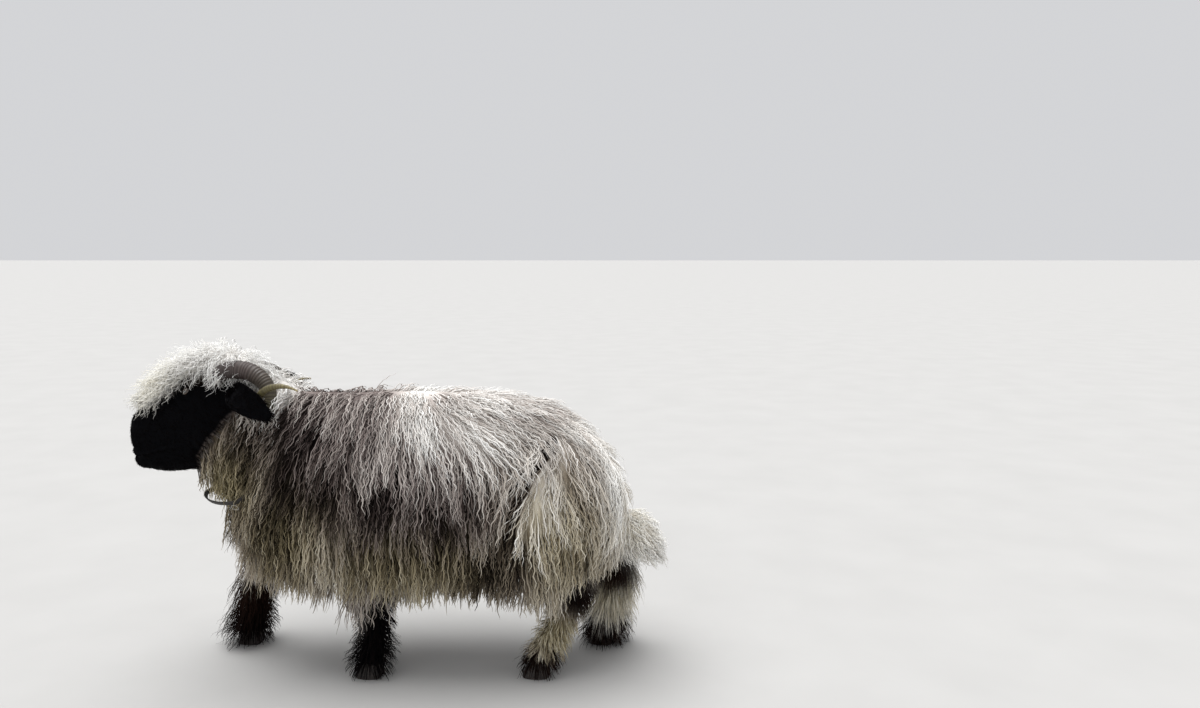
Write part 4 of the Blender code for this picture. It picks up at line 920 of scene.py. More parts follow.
# %% [markdown]
# ## One strand
#
# A strand is a three-sided spike, one unit long along X, that Geometry Nodes later stretches, bends and waves.
# Its rings lie closer toward the tip, because that is the part that other strands don't cover.
# Its attribute strand_at holds how far round and how far along each point lies.

# %% Model the strand
LONG_RINGS = ((0.00, 0.60), (0.26, 0.95), (0.44, 1.00), (0.56, 0.97), (0.66, 0.90), (0.75, 0.80), (0.83, 0.67),
              (0.90, 0.50), (0.96, 0.30))
LEG_RINGS = ((0.00, 0.70), (0.40, 1.00), (0.75, 0.62))
SHORT_RINGS = ((0.00, 0.80), (0.50, 0.75))


def strand_shape(name, rings):
    points, faces, marks = [], [], []
    for share, size in rings:
        for k in range(3):
            turn = math.tau * (k / 3 + 0.25)
            points.append((share, math.cos(turn) * 0.5 * size, math.sin(turn) * 0.5 * size))
            marks.append((k / 3, share, 0.0))
    points.append((1.0, 0.0, 0.0))
    marks.append((0.5, 1.0, 0.0))
    for r in range(len(rings) - 1):
        a, b = r * 3, r * 3 + 3
        for k in range(3):
            m = (k + 1) % 3
            faces += [(a + k, a + m, b + m), (a + k, b + m, b + k)]
    last = (len(rings) - 1) * 3
    faces += [(last + k, last + (k + 1) % 3, len(points) - 1) for k in range(3)]
    faces.append((0, 1, 2))
    thing = mesh_object(name, points, faces)
    write(thing.data, "strand_at", "FLOAT_VECTOR", "POINT", np.array(marks, dtype=np.float32))
    thing.data.shade_smooth()
    return thing


long_strand = strand_shape("long_strand", LONG_RINGS)
leg_strand = strand_shape("leg_strand", LEG_RINGS)
short_strand = strand_shape("short_strand", SHORT_RINGS)
print("faces of a strand:", [len(strand.data.polygons) for strand in (long_strand, leg_strand, short_strand)])

# %% [markdown]
# ## The coat as a Geometry Nodes tree
#
# Strands could be modelled by hand, but there are tens of thousands. The tree scatters roots over one zone of
# the skin and a second, sparse set of lock centres over all of it. Each strand leans toward the nearest centre
# and shares its wave, which is what gathers wool into locks. The strands are then made real, bent along the
# skin and given their patch of the unwrap.

# %% Build the coat tree
COAT_INPUTS = (
    ("Strand", "NodeSocketObject", None), ("Zone", "NodeSocketInt", 0), ("Density", "NodeSocketFloat", 9000.0),
    ("Lock Spacing", "NodeSocketFloat", 0.022), ("Width", "NodeSocketFloat", 0.0065),
    ("Gather", "NodeSocketFloat", 0.8), ("Wave Height", "NodeSocketFloat", 0.004),
    ("Waves", "NodeSocketFloat", 2.0), ("Curl", "NodeSocketFloat", 0.6), ("Loose", "NodeSocketFloat", 0.006),
    ("Droop", "NodeSocketFloat", 0.1), ("Seed", "NodeSocketInt", 1), ("Material", "NodeSocketMaterial", None),
)
PATCH_SIZE = 0.003
LOWEST_TIP = 0.004


def coat_tree():
    tree = bpy.data.node_groups.new("Wool Coat", "GeometryNodeTree")
    tree.is_modifier = True
    tree.interface.new_socket(name="Geometry", in_out="INPUT", socket_type="NodeSocketGeometry")
    tree.interface.new_socket(name="Geometry", in_out="OUTPUT", socket_type="NodeSocketGeometry")
    for name, kind, value in COAT_INPUTS:
        socket = tree.interface.new_socket(name=name, in_out="INPUT", socket_type=kind)
        if value is not None:
            socket.default_value = value
    given = tree.nodes.new("NodeGroupInput").outputs
    named = {}

    def attribute(name, kind="FLOAT_VECTOR"):
        if name not in named:
            named[name] = add(tree, "GeometryNodeInputNamedAttribute", [name], data_type=kind)
        return named[name]

    def vectors(operation, *inputs):
        return add(tree, "ShaderNodeVectorMath", inputs, operation=operation)

    def numbers(operation, *inputs):
        return add(tree, "ShaderNodeMath", inputs, operation=operation)

    def stored(geometry, name, value, kind="FLOAT_VECTOR", domain="POINT"):
        return add(tree, "GeometryNodeStoreNamedAttribute",
                   {"Geometry": geometry, "Name": name, "Value": value}, data_type=kind, domain=domain)

    def chance(low, high, seed):
        return add(tree, "FunctionNodeRandomValue", {"Min": low, "Max": high, "Seed": seed}, data_type="FLOAT")

    # Roots in the zone, and lock centres over the whole skin
    inside = add(tree, "FunctionNodeCompare", [attribute("zone", "INT"), given["Zone"]],
                 data_type="INT", operation="EQUAL")
    density = numbers("MULTIPLY", given["Density"], attribute("cover", "FLOAT"))
    roots = add(tree, "GeometryNodeDistributePointsOnFaces",
                {"Mesh": given["Geometry"], "Selection": inside, "Density": density, "Seed": given["Seed"]})
    normal = roots.node.outputs["Normal"]
    per_area = numbers("DIVIDE", 1.6, numbers("MULTIPLY", given["Lock Spacing"], given["Lock Spacing"]))
    centres = add(tree, "GeometryNodeDistributePointsOnFaces",
                  {"Mesh": given["Geometry"], "Distance Min": given["Lock Spacing"], "Density Max": per_area,
                   "Seed": 5}, distribute_method="POISSON")

    # What each strand takes from its lock
    here = add(tree, "GeometryNodeInputPosition")
    nearest = add(tree, "GeometryNodeSampleNearest", [centres, here])
    centre_at = add(tree, "GeometryNodeSampleIndex", [centres, here, nearest], data_type="FLOAT_VECTOR")
    centre_lie = add(tree, "GeometryNodeSampleIndex", [centres, attribute("lie"), nearest],
                     data_type="FLOAT_VECTOR")
    draw = add(tree, "FunctionNodeRandomValue", {"Min": (0.0, 0.0, 0.0), "Max": (1.0, 1.0, 1.0), "Seed": 7},
               data_type="FLOAT_VECTOR")
    centre_draw = add(tree, "GeometryNodeSampleIndex", [centres, draw, nearest], data_type="FLOAT_VECTOR")
    stray = add(tree, "FunctionNodeRandomValue", {"Min": (-1.0,) * 3, "Max": (1.0,) * 3, "Seed": 21},
                data_type="FLOAT_VECTOR")
    lock_stray = vectors("SUBTRACT", centre_draw, (0.5, 0.5, 0.5))
    lie_here = add(tree, "ShaderNodeMix", [0.65, attribute("lie"), centre_lie], data_type="VECTOR")
    lie_here = vectors("MULTIPLY_ADD", stray, (0.10, 0.10, 0.10), lie_here)
    lie_here = vectors("MULTIPLY_ADD", lock_stray, (0.42, 0.42, 0.16), lie_here)
    lie_here = vectors("NORMALIZE", lie_here)
    toward = vectors("SUBTRACT", centre_at, here)
    lengthwise = add(tree, "ShaderNodeVectorMath", [toward, lie_here], operation="DOT_PRODUCT").node
    lengthwise = lengthwise.outputs["Value"]
    length_part = add(tree, "ShaderNodeVectorMath", {"Vector": lie_here, "Scale": lengthwise}, operation="SCALE")
    toward = vectors("SUBTRACT", toward, length_part)
    lock_one, lock_two, lock_three = add(tree, "ShaderNodeSeparateXYZ", [centre_draw]).node.outputs
    luck = add(tree, "ShaderNodeCombineXYZ", [lock_one, chance(0.0, 1.0, 31), lock_two])
    size = add(tree, "ShaderNodeSeparateXYZ", [attribute("wool")]).node.outputs
    lock_length = numbers("MULTIPLY_ADD", lock_three, 0.40, 0.80)
    long = numbers("MULTIPLY", numbers("MULTIPLY", size[0], lock_length), chance(0.72, 1.12, 41))
    deep = numbers("MULTIPLY", size[1], chance(0.35, 1.12, 43))
    strand = add(tree, "ShaderNodeCombineXYZ", [long, deep, size[2]])
    wide = numbers("MULTIPLY", given["Width"], chance(0.55, 1.35, 47))

    points = stored(roots, "up", normal)
    points = stored(points, "toward", toward)
    points = stored(points, "luck", luck)
    points = stored(points, "stray", stray)
    points = stored(points, "strand", strand)
    points = stored(points, "root_map", attribute("OFBake"))
    points = stored(points, "lie", lie_here)

    # One strand on each root
    turned = add(tree, "FunctionNodeAxesToRotation", [attribute("lie"), attribute("up")],
                 primary_axis="X", secondary_axis="Z")
    shape = add(tree, "GeometryNodeObjectInfo", [given["Strand"]]).node.outputs["Geometry"]
    stretch = add(tree, "ShaderNodeCombineXYZ", [long, wide, numbers("MULTIPLY", wide, 0.55)])
    strands = add(tree, "GeometryNodeInstanceOnPoints",
                  {"Points": points, "Instance": shape, "Rotation": turned, "Scale": stretch})
    strands = add(tree, "GeometryNodeRealizeInstances", [strands])

    # Each point of a strand is lifted, bent round the body, gathered and waved
    tip = add(tree, "ShaderNodeSeparateXYZ", [attribute("strand_at")]).node.outputs[1]
    span, height, curve = add(tree, "ShaderNodeSeparateXYZ", [attribute("strand")]).node.outputs
    left = numbers("SUBTRACT", 1.0, tip)
    rise = numbers("MULTIPLY", height, numbers("SUBTRACT", 1.0, numbers("MULTIPLY", left, left)))
    reach = numbers("MULTIPLY", span, tip)
    sink = numbers("MULTIPLY", curve, numbers("MULTIPLY", reach, reach))
    lift = numbers("SUBTRACT", numbers("SUBTRACT", rise, sink), 0.0015)
    phase = add(tree, "ShaderNodeSeparateXYZ", [attribute("luck")]).node.outputs[2]
    stray_one, stray_two, stray_three = add(tree, "ShaderNodeSeparateXYZ", [attribute("stray")]).node.outputs
    turns = numbers("MULTIPLY", numbers("MULTIPLY", tip, given["Waves"]), numbers("MULTIPLY_ADD", stray_one, 0.15, 1.0))
    turns = numbers("ADD", turns, numbers("MULTIPLY_ADD", stray_two, 0.13, numbers("MULTIPLY", phase, 3.0)))
    turns = numbers("MULTIPLY", turns, math.tau)
    swing = numbers("MULTIPLY", given["Wave Height"], numbers("MULTIPLY_ADD", stray_three, 0.35, 1.0))
    swing = numbers("MULTIPLY", swing, numbers("POWER", tip, 0.6))
    sideways = numbers("MULTIPLY", swing, numbers("SINE", turns))
    upward = numbers("MULTIPLY", numbers("MULTIPLY", swing, given["Curl"]), numbers("COSINE", turns))
    across = vectors("CROSS_PRODUCT", attribute("lie"), attribute("up"))
    close = numbers("MULTIPLY", given["Gather"], numbers("POWER", tip, 1.3))
    hang = numbers("MULTIPLY", numbers("MULTIPLY", given["Droop"], span), numbers("MULTIPLY", tip, tip))
    offset = add(tree, "ShaderNodeVectorMath", {"Vector": attribute("up"), "Scale": numbers("ADD", lift, upward)},
                 operation="SCALE")
    offset = vectors("ADD", offset, add(tree, "ShaderNodeVectorMath", {"Vector": across, "Scale": sideways},
                                        operation="SCALE"))
    offset = vectors("ADD", offset, add(tree, "ShaderNodeVectorMath", {"Vector": attribute("toward"),
                                                                      "Scale": close}, operation="SCALE"))
    offset = vectors("ADD", offset, add(tree, "ShaderNodeVectorMath", {"Vector": (0.0, 0.0, -1.0),
                                                                      "Scale": hang}, operation="SCALE"))
    loosened = add(tree, "ShaderNodeVectorMath",
                   {"Vector": attribute("stray"), "Scale": numbers("MULTIPLY", given["Loose"], numbers("MULTIPLY", tip, tip))},
                   operation="SCALE")
    offset = vectors("ADD", offset, loosened)
    strands = add(tree, "GeometryNodeSetPosition", {"Geometry": strands, "Offset": offset})
    landed = vectors("MAXIMUM", add(tree, "GeometryNodeInputPosition"), (-9.0, -9.0, LOWEST_TIP))
    strands = add(tree, "GeometryNodeSetPosition", {"Geometry": strands, "Position": landed})
    patch = vectors("MULTIPLY_ADD", vectors("SUBTRACT", attribute("strand_at"), (0.5, 0.5, 0.0)),
                    (PATCH_SIZE,) * 3, attribute("root_map"))
    strands = stored(strands, "OFBake", patch, "FLOAT2", "CORNER")
    for name in ("up", "toward", "strand", "stray", "root_map", "lie", "wool", "cover", "zone"):
        strands = add(tree, "GeometryNodeRemoveAttribute", {"Geometry": strands, "Name": name})
    strands = add(tree, "GeometryNodeSetMaterial", {"Geometry": strands, "Material": given["Material"]})
    tree.links.new(strands, tree.nodes.new("NodeGroupOutput").inputs[0])
    return tree


wool_coat = coat_tree()
print("coat tree:", len(wool_coat.nodes), "nodes")

# %% [markdown]
# ## Growing the coat
#
# Each zone of the skin has its own recipe: how dense, how wide the strands and how wavy. The fleece is cut in
# lengthwise pieces only because one mesh of it would be too heavy. Strands in one lock share their wave across
# the borders, so the pieces show no seam.

# %% Grow the strands
FLEECE = {"Strand": long_strand, "Density": 14600.0, "Lock Spacing": 0.019, "Width": 0.0037, "Gather": 0.55,
          "Wave Height": 0.0034, "Waves": 3.6, "Curl": 0.6, "Loose": 0.007, "Droop": 0.10}
RECIPES = {name: FLEECE for name in ZONES if name.startswith("fleece")}
RECIPES["fleece_thigh"] = {**FLEECE, "Lock Spacing": 0.024, "Gather": 0.80}
RECIPES["neck_wool"] = {**FLEECE, "Density": 17000.0, "Lock Spacing": 0.015, "Width": 0.0035, "Loose": 0.009}
RECIPES["forelock_curls"] = {"Strand": long_strand, "Density": 48000.0, "Lock Spacing": 0.011, "Width": 0.0025,
                             "Gather": 0.70, "Wave Height": 0.0062, "Waves": 2.4, "Curl": 0.9, "Loose": 0.014,
                             "Droop": 0.20}
RECIPES["tail_wool"] = {**FLEECE, "Density": 27000.0, "Lock Spacing": 0.013, "Width": 0.0034, "Loose": 0.008}
RECIPES["leg_hair"] = {"Strand": leg_strand, "Density": 56000.0, "Lock Spacing": 0.012, "Width": 0.0028,
                       "Gather": 0.25, "Wave Height": 0.0018, "Waves": 1.5, "Curl": 0.6, "Loose": 0.0025,
                       "Droop": 0.10}
RECIPES["face_hair"] = {"Strand": short_strand, "Density": 112000.0, "Lock Spacing": 0.007, "Width": 0.0020,
                        "Gather": 0.35, "Wave Height": 0.0003, "Waves": 0.6, "Curl": 0.6, "Loose": 0.002,
                        "Droop": 0.0}
RECIPES["ear_hair"] = {**RECIPES["face_hair"], "Density": 90000.0, "Width": 0.0020, "Loose": 0.006}


def grow(name, recipe, seed):
    """One zone's coat as a plain mesh."""
    thing = bpy.data.objects.new(name, skin.data)
    bpy.context.scene.collection.objects.link(thing)
    step = thing.modifiers.new("coat", "NODES")
    step.node_group = wool_coat
    keys = {item.name: item.identifier for item in wool_coat.interface.items_tree if item.in_out == "INPUT"}
    values = {**recipe, "Zone": ZONES.index(name), "Seed": seed, "Material": strand_wool}
    for label, value in values.items():
        step[keys[label]] = value
    graph = bpy.context.evaluated_depsgraph_get()
    mesh = bpy.data.meshes.new_from_object(thing.evaluated_get(graph), depsgraph=graph)
    thing.modifiers.clear()
    thing.data = mesh
    mesh.name = name
    return thing


coats = []
for seed, name in enumerate(ZONES, start=1):
    coat = grow(name, RECIPES[name], seed)
    coats.append(coat)
    print(name, len(coat.data.polygons), "triangles")
remove([long_strand, leg_strand, short_strand])
print("coat:", sum(len(coat.data.polygons) for coat in coats), "triangles,", round(time.time() - started, 1), "s")

# %% [markdown]
# ## The horns
#
# A horn is a corkscrew of keratin that grew ring by ring, so its surface is ridged across, thick and dark at
# the root and smooth, olive and pale-edged at the tip. A curve follows the corkscrew, and Geometry Nodes sweep
# a ring of points along it and let the radius rise and fall with each growth ring.

# %% The horns' path
HORN_FORMS = {
    1.0: {"centre": Vector((-0.437, -0.055, 0.797)), "drift": Vector((0.150, -0.098, -0.020)),
          "turns": 1.32, "coil": (0.052, 0.036)},
    -1.0: {"centre": Vector((-0.440, -0.055, 0.786)), "drift": Vector((0.130, -0.085, -0.020)),
           "turns": 1.20, "coil": (0.050, 0.026)},
}
HORN_START = math.radians(168.0)
HORN_RADII = (0.0235, 0.0245, 0.0220, 0.0152, 0.0110, 0.0098, 0.0083, 0.0022)
HORN_ROOT = 0.022
HORN_POINTS = 90


def horn_curve(name, side):
    """The corkscrew as a poly curve, with the horn's taper in its radius."""
    curve = bpy.data.curves.new(name, "CURVE")
    curve.dimensions = "3D"
    spline = curve.splines.new("POLY")
    spline.points.add(HORN_POINTS)
    form = HORN_FORMS[side]
    path = []
    for i in range(HORN_POINTS):
        share = i / (HORN_POINTS - 1)
        turn = share * form["turns"]
        angle = HORN_START - math.tau * turn
        point = form["centre"] + form["drift"] * turn
        point = point + Vector((math.cos(angle), 0.0, math.sin(angle))) * mix(*form["coil"], share)
        path.append((Vector((point.x, side * point.y, point.z)), along(HORN_RADII, share)))
    sunk = path[0][0] - (path[1][0] - path[0][0]).normalized() * HORN_ROOT
    for target, (point, radius) in zip(spline.points, [(sunk, HORN_RADII[0]), *path]):
        target.co = (*point, 1.0)
        target.radius = radius
    thing = bpy.data.objects.new(name, curve)
    bpy.context.scene.collection.objects.link(thing)
    return thing


# %% The horn tree
def horn_tree():
    tree = bpy.data.node_groups.new("Ridged Horn", "GeometryNodeTree")
    tree.is_modifier = True
    tree.interface.new_socket(name="Geometry", in_out="INPUT", socket_type="NodeSocketGeometry")
    tree.interface.new_socket(name="Geometry", in_out="OUTPUT", socket_type="NodeSocketGeometry")
    for name, kind, value in (("Rings", "NodeSocketFloat", 58.0), ("Ring Height", "NodeSocketFloat", 0.042),
                              ("Steps", "NodeSocketInt", 420), ("Sides", "NodeSocketInt", 28),
                              ("Material", "NodeSocketMaterial", None)):
        socket = tree.interface.new_socket(name=name, in_out="INPUT", socket_type=kind)
        if value is not None:
            socket.default_value = value
    given = tree.nodes.new("NodeGroupInput").outputs
    path = add(tree, "GeometryNodeResampleCurve", {"Curve": given["Geometry"], "Count": given["Steps"]})
    share = add(tree, "GeometryNodeSplineParameter")
    uneven = add(tree, "ShaderNodeTexNoise", {"Vector": share, "Scale": 9.0, "Detail": 1.0})
    turns = add(tree, "ShaderNodeMath", [share, given["Rings"]], operation="MULTIPLY")
    turns = add(tree, "ShaderNodeMath", [uneven, 3.0, turns], operation="MULTIPLY_ADD")
    wave = add(tree, "ShaderNodeMath", [turns, math.tau], operation="MULTIPLY")
    wave = add(tree, "ShaderNodeMath", [wave], operation="SINE")
    worn = add(tree, "ShaderNodeMath", [1.0, share], operation="SUBTRACT", use_clamp=True)
    height = add(tree, "ShaderNodeMath", [given["Ring Height"], worn], operation="MULTIPLY")
    swell = add(tree, "ShaderNodeMath", [wave, height, 1.0], operation="MULTIPLY_ADD")
    radius = add(tree, "ShaderNodeMath", [add(tree, "GeometryNodeInputRadius"), swell], operation="MULTIPLY")
    path = add(tree, "GeometryNodeStoreNamedAttribute", {"Geometry": path, "Name": "growth", "Value": share},
               data_type="FLOAT", domain="POINT")
    path = add(tree, "GeometryNodeStoreNamedAttribute", {"Geometry": path, "Name": "ring", "Value": wave},
               data_type="FLOAT", domain="POINT")
    section = add(tree, "GeometryNodeCurvePrimitiveCircle", {"Resolution": given["Sides"], "Radius": 1.0})
    solid = add(tree, "GeometryNodeCurveToMesh",
                {"Curve": path, "Profile Curve": section, "Scale": radius, "Fill Caps": True})
    solid = add(tree, "GeometryNodeSetShadeSmooth", {"Geometry": solid})
    solid = add(tree, "GeometryNodeRealizeInstances", [solid])
    solid = add(tree, "GeometryNodeSetMaterial", {"Geometry": solid, "Material": given["Material"]})
    tree.links.new(solid, tree.nodes.new("NodeGroupOutput").inputs[0])
    return tree


# %% [markdown]
# ### The horns' finish
#
# Keratin is hard, dull from rubbing and slightly glossy on its crests. Dirt stays in the grooves between the
# growth rings, which gives the eye a striped dark horn with worn pale crests.

# %% Horn material
def horn_material():
    """Ridged keratin: grey-brown and dirty in its grooves, olive and bone-pale toward the tip."""
    made, tree, shader = new_material("ridged_keratin", 0.52)
    growth = add(tree, "ShaderNodeAttribute", attribute_name="growth").node.outputs["Fac"]
    ring = add(tree, "ShaderNodeAttribute", attribute_name="ring").node.outputs["Fac"]
    where = add(tree, "ShaderNodeTexCoord").node.outputs["Object"]
    grain = add(tree, "ShaderNodeTexNoise", {"Vector": where, "Scale": 260.0, "Detail": 4.0})
    blotch = add(tree, "ShaderNodeTexNoise", {"Vector": where, "Scale": 45.0, "Detail": 3.0})
    base = ramp(tree, growth, ((0.0, "#3d3433"), (0.30, "#584b48"), (0.46, "#574f3f"), (0.62, "#5b5637"),
                               (0.84, "#777046"), (1.0, "#b4a87a")))
    crest = add(tree, "ShaderNodeMath", [ring, 0.5, 0.5], operation="MULTIPLY_ADD", use_clamp=True)
    crest = add(tree, "ShaderNodeMath", [crest, blotch], operation="MULTIPLY")
    worn = add(tree, "ShaderNodeMix", [crest, linear("#8a8079"), linear("#ffffff")], data_type="RGBA")
    colour = add(tree, "ShaderNodeMix", [0.85, base, worn], data_type="RGBA", blend_type="MULTIPLY")
    tree.links.new(colour, shader.inputs["Base Color"])
    rough = add(tree, "ShaderNodeMapRange", [blotch, 0.3, 0.7, 0.42, 0.66])
    tree.links.new(rough, shader.inputs["Roughness"])
    bump = add(tree, "ShaderNodeBump", {"Strength": 0.4, "Distance": 0.0006, "Height": grain})
    tree.links.new(bump, shader.inputs["Normal"])
    return made


# %% Make the horns
def through_nodes(thing, tree, values):
    """Runs a tree on an object with these inputs, and gives the result as a plain mesh object."""
    step = thing.modifiers.new("nodes", "NODES")
    step.node_group = tree
    keys = {item.name: item.identifier for item in tree.interface.items_tree if item.in_out == "INPUT"}
    for label, value in values.items():
        step[keys[label]] = value
    graph = bpy.context.evaluated_depsgraph_get()
    mesh = bpy.data.meshes.new_from_object(thing.evaluated_get(graph), depsgraph=graph)
    name = thing.name
    remove([thing])
    solid = bpy.data.objects.new(name, mesh)
    bpy.context.scene.collection.objects.link(solid)
    bm = bmesh.new()
    bm.from_mesh(mesh)
    bmesh.ops.remove_doubles(bm, verts=bm.verts[:], dist=0.00002)
    bmesh.ops.recalc_face_normals(bm, faces=bm.faces[:])
    bm.to_mesh(mesh)
    bm.free()
    return solid


keratin = horn_material()
ridged_horn = horn_tree()
horns = {word: through_nodes(horn_curve(f"horn_{word}_ridged", side), ridged_horn, {"Material": keratin})
         for word, side in SIDES.items()}
print("horn faces:", len(horns["left"].data.polygons))

# %% [markdown]
# ## The eyes
#
# A sheep's eye is a glossy brown ball with a wide, level, almost rectangular pupil. A fine ball sits in the
# socket behind the lids. Its attribute "gaze" gives the place on the ball, so that the iris follows the eye.

# %% Eye material and balls
def eye_material():
    """Wet eye: amber-brown iris with fine spokes, a level dark slot for a pupil, and a clear film over it."""
    made, tree, shader = new_material("wet_amber_eye", 0.25)
    gaze = add(tree, "ShaderNodeAttribute", attribute_name="gaze").node.outputs["Vector"]
    ahead, up, _ = add(tree, "ShaderNodeSeparateXYZ", [gaze]).node.outputs
    flat = add(tree, "ShaderNodeVectorMath", [gaze, (1.0, 1.0, 0.0)], operation="MULTIPLY")
    out = add(tree, "ShaderNodeVectorMath", [flat], operation="LENGTH").node.outputs["Value"]
    spokes = add(tree, "ShaderNodeTexNoise", {"Vector": gaze, "Scale": 24.0, "Detail": 3.0})
    iris = ramp(tree, spokes, ((0.30, "#1c1007"), (0.55, "#3a250f"), (0.75, "#543a18")))
    wide = add(tree, "ShaderNodeMath", [ahead, 0.50], operation="DIVIDE")
    tall = add(tree, "ShaderNodeMath", [up, 0.20], operation="DIVIDE")
    wide = add(tree, "ShaderNodeMath", [add(tree, "ShaderNodeMath", [wide], operation="ABSOLUTE"), 4.0],
               operation="POWER")
    tall = add(tree, "ShaderNodeMath", [add(tree, "ShaderNodeMath", [tall], operation="ABSOLUTE"), 4.0],
               operation="POWER")
    slot = add(tree, "ShaderNodeMath", [wide, tall], operation="ADD")
    pupil = add(tree, "ShaderNodeMapRange", [slot, 0.7, 1.4, 1.0, 0.0])
    colour = add(tree, "ShaderNodeMix", [pupil, iris, linear("#030303")], data_type="RGBA")
    rim = add(tree, "ShaderNodeMapRange", [out, 0.70, 0.80, 0.0, 1.0])
    colour = add(tree, "ShaderNodeMix", [rim, colour, linear("#1d120c")], data_type="RGBA")
    tree.links.new(colour, shader.inputs["Base Color"])
    shader.inputs["Coat Weight"].default_value = 1.0
    shader.inputs["Coat Roughness"].default_value = 0.03
    return made


EYE_GAZE = Vector((-0.30, -0.95, -0.05)).normalized()


def eyeball(word, side):
    """A ball whose front bulges slightly, as a cornea does."""
    thing = ball(f"eye_{word}_ball", Vector(), (1.0, 1.0, 1.0), segments=48)
    out = Vector((EYE_GAZE.x, side * EYE_GAZE.y, EYE_GAZE.z))
    up = (Vector((0.0, 0.0, 1.0)) - out * out.z).normalized()
    ahead = up.cross(out)
    marks = []
    for vertex in thing.data.vertices:
        point = vertex.co.copy()
        marks.append((point.dot(ahead), point.dot(up), point.dot(out)))
        swell = 1.0 + 0.03 * max(point.dot(out) - 0.72, 0.0) / 0.28
        vertex.co = mirrored(EYE_PLACE, side) + point * swell * (EYE_RADIUS - 0.0003)
    write(thing.data, "gaze", "FLOAT_VECTOR", "POINT", np.array(marks, dtype=np.float32))
    thing.data.shade_smooth()
    return thing


wet_eye = eye_material()
eyes = {word: eyeball(word, side) for word, side in SIDES.items()}
for thing in eyes.values():
    thing.data.materials.append(wet_eye)

# %% [markdown]
# ## The hooves
#
# Each foot has two claws of dark horn with a flat sole, a sloping front and fine growth rings round them. They
# are mostly hidden by the hair that falls over them.

# %% Hoof material and claws
CLAW_LENGTH, CLAW_WIDTH, CLAW_GAP = 0.070, 0.027, 0.0045
CLAW_OUTLINE = ((-0.56, 0.30), (-0.40, 0.78), (-0.05, 1.0), (0.34, 0.92), (0.44, 0.60), (0.44, 0.06),
                (0.0, 0.0), (-0.50, 0.04))
CLAW_LEVELS = ((0.0, 0.97, 0.0005), (0.0025, 1.0, 0.0008), (0.010, 0.975, 0.0025), (0.018, 0.94, 0.005),
               (0.026, 0.90, 0.008), (0.034, 0.85, 0.0115), (CORONET_HEIGHT, 0.80, 0.015))
CLAW_TAPER = 0.45
CLAW_POINTS = 48


def hoof_material():
    """Dull dark hoof horn with rings about 2 mm apart and pale scuffs."""
    made, tree, shader = new_material("hoof_horn_dull", 0.6)
    where = add(tree, "ShaderNodeTexCoord").node.outputs["Object"]
    stretched = add(tree, "ShaderNodeMapping", {"Vector": where, "Scale": (12.0, 12.0, 480.0)})
    rings = add(tree, "ShaderNodeTexNoise", {"Vector": stretched, "Scale": 1.0, "Detail": 3.0})
    scuff = add(tree, "ShaderNodeTexNoise", {"Vector": where, "Scale": 160.0, "Detail": 5.0})
    dirt = add(tree, "ShaderNodeMath", [rings, scuff], operation="MULTIPLY")
    colour = ramp(tree, dirt, ((0.12, "#171311"), (0.30, "#2e2622"), (0.50, "#5b5046")))
    tree.links.new(colour, shader.inputs["Base Color"])
    bump = add(tree, "ShaderNodeBump", {"Strength": 0.5, "Distance": 0.0006, "Height": rings})
    tree.links.new(bump, shader.inputs["Normal"])
    return made


def smooth_loop(points, steps):
    """Evenly counted places on a smooth closed curve through the points."""
    count = len(points)
    places = []
    for i in range(steps):
        at = i * count / steps
        low, share = int(at), at - int(at)
        p0, p1, p2, p3 = (points[(low + k) % count] for k in (-1, 0, 1, 2))
        bend = (p0 * 2 - p1 * 5 + p2 * 4 - p3) * share ** 2 + (p1 * 3 - p0 - p2 * 3 + p3) * share ** 3
        places.append((p1 * 2 + (p2 - p0) * share + bend) / 2)
    return places


def claw(name, leg, side):
    foot = leg_joints(leg)[-1]
    inner = CLAW_GAP / 2
    outline = smooth_loop([Vector(point) for point in CLAW_OUTLINE], CLAW_POINTS)
    rings = []
    for height, shrink, back in CLAW_LEVELS:
        ring = []
        for place in outline:
            across = max(place.y, 0.0) * CLAW_WIDTH * mix(1.0, shrink, CLAW_TAPER)
            ring.append(Vector((foot.x + place.x * CLAW_LENGTH * shrink + back,
                                foot.y + side * (inner + across), height)))
        rings.append(ring)
    thing = lofted(name, rings)
    thing.data.shade_smooth()
    thing.data.set_sharp_from_angle(angle=math.radians(50.0))
    return thing


hoof_horn = hoof_material()
claws = {}
for name, leg in LEGS.items():
    for part, side in (("inner", -1.0), ("outer", 1.0)):
        node = f"hoof_{name}_{part}"
        claws[node] = claw(f"{node}_claw", leg, -side * leg["side"])
        claws[node].data.materials.append(hoof_horn)
print("claws:", len(claws))

# %% [markdown]
# ## The collar
#
# A narrow dark leather strap lies low round the neck, half sunk in the wool, with a small steel ring at the
# left of the throat. Its band is lofted along a smooth loop, with rounded edges.

# %% The strap's line
COLLAR_MIDDLE = Vector((-0.400, 0.0, 0.600))
COLLAR_BAND = (0.0130, 0.0032)
COLLAR_STEPS = 28
BAND_SECTION = ((-1.0, 0.55), (-0.90, 1.0), (0.0, 1.12), (0.90, 1.0), (1.0, 0.55), (1.0, -0.55), (0.90, -1.0),
                (-0.90, -1.0), (-1.0, -0.55))
RING_PLACE = 5
RING_RADIUS, RING_WIRE = 0.0095, 0.0017


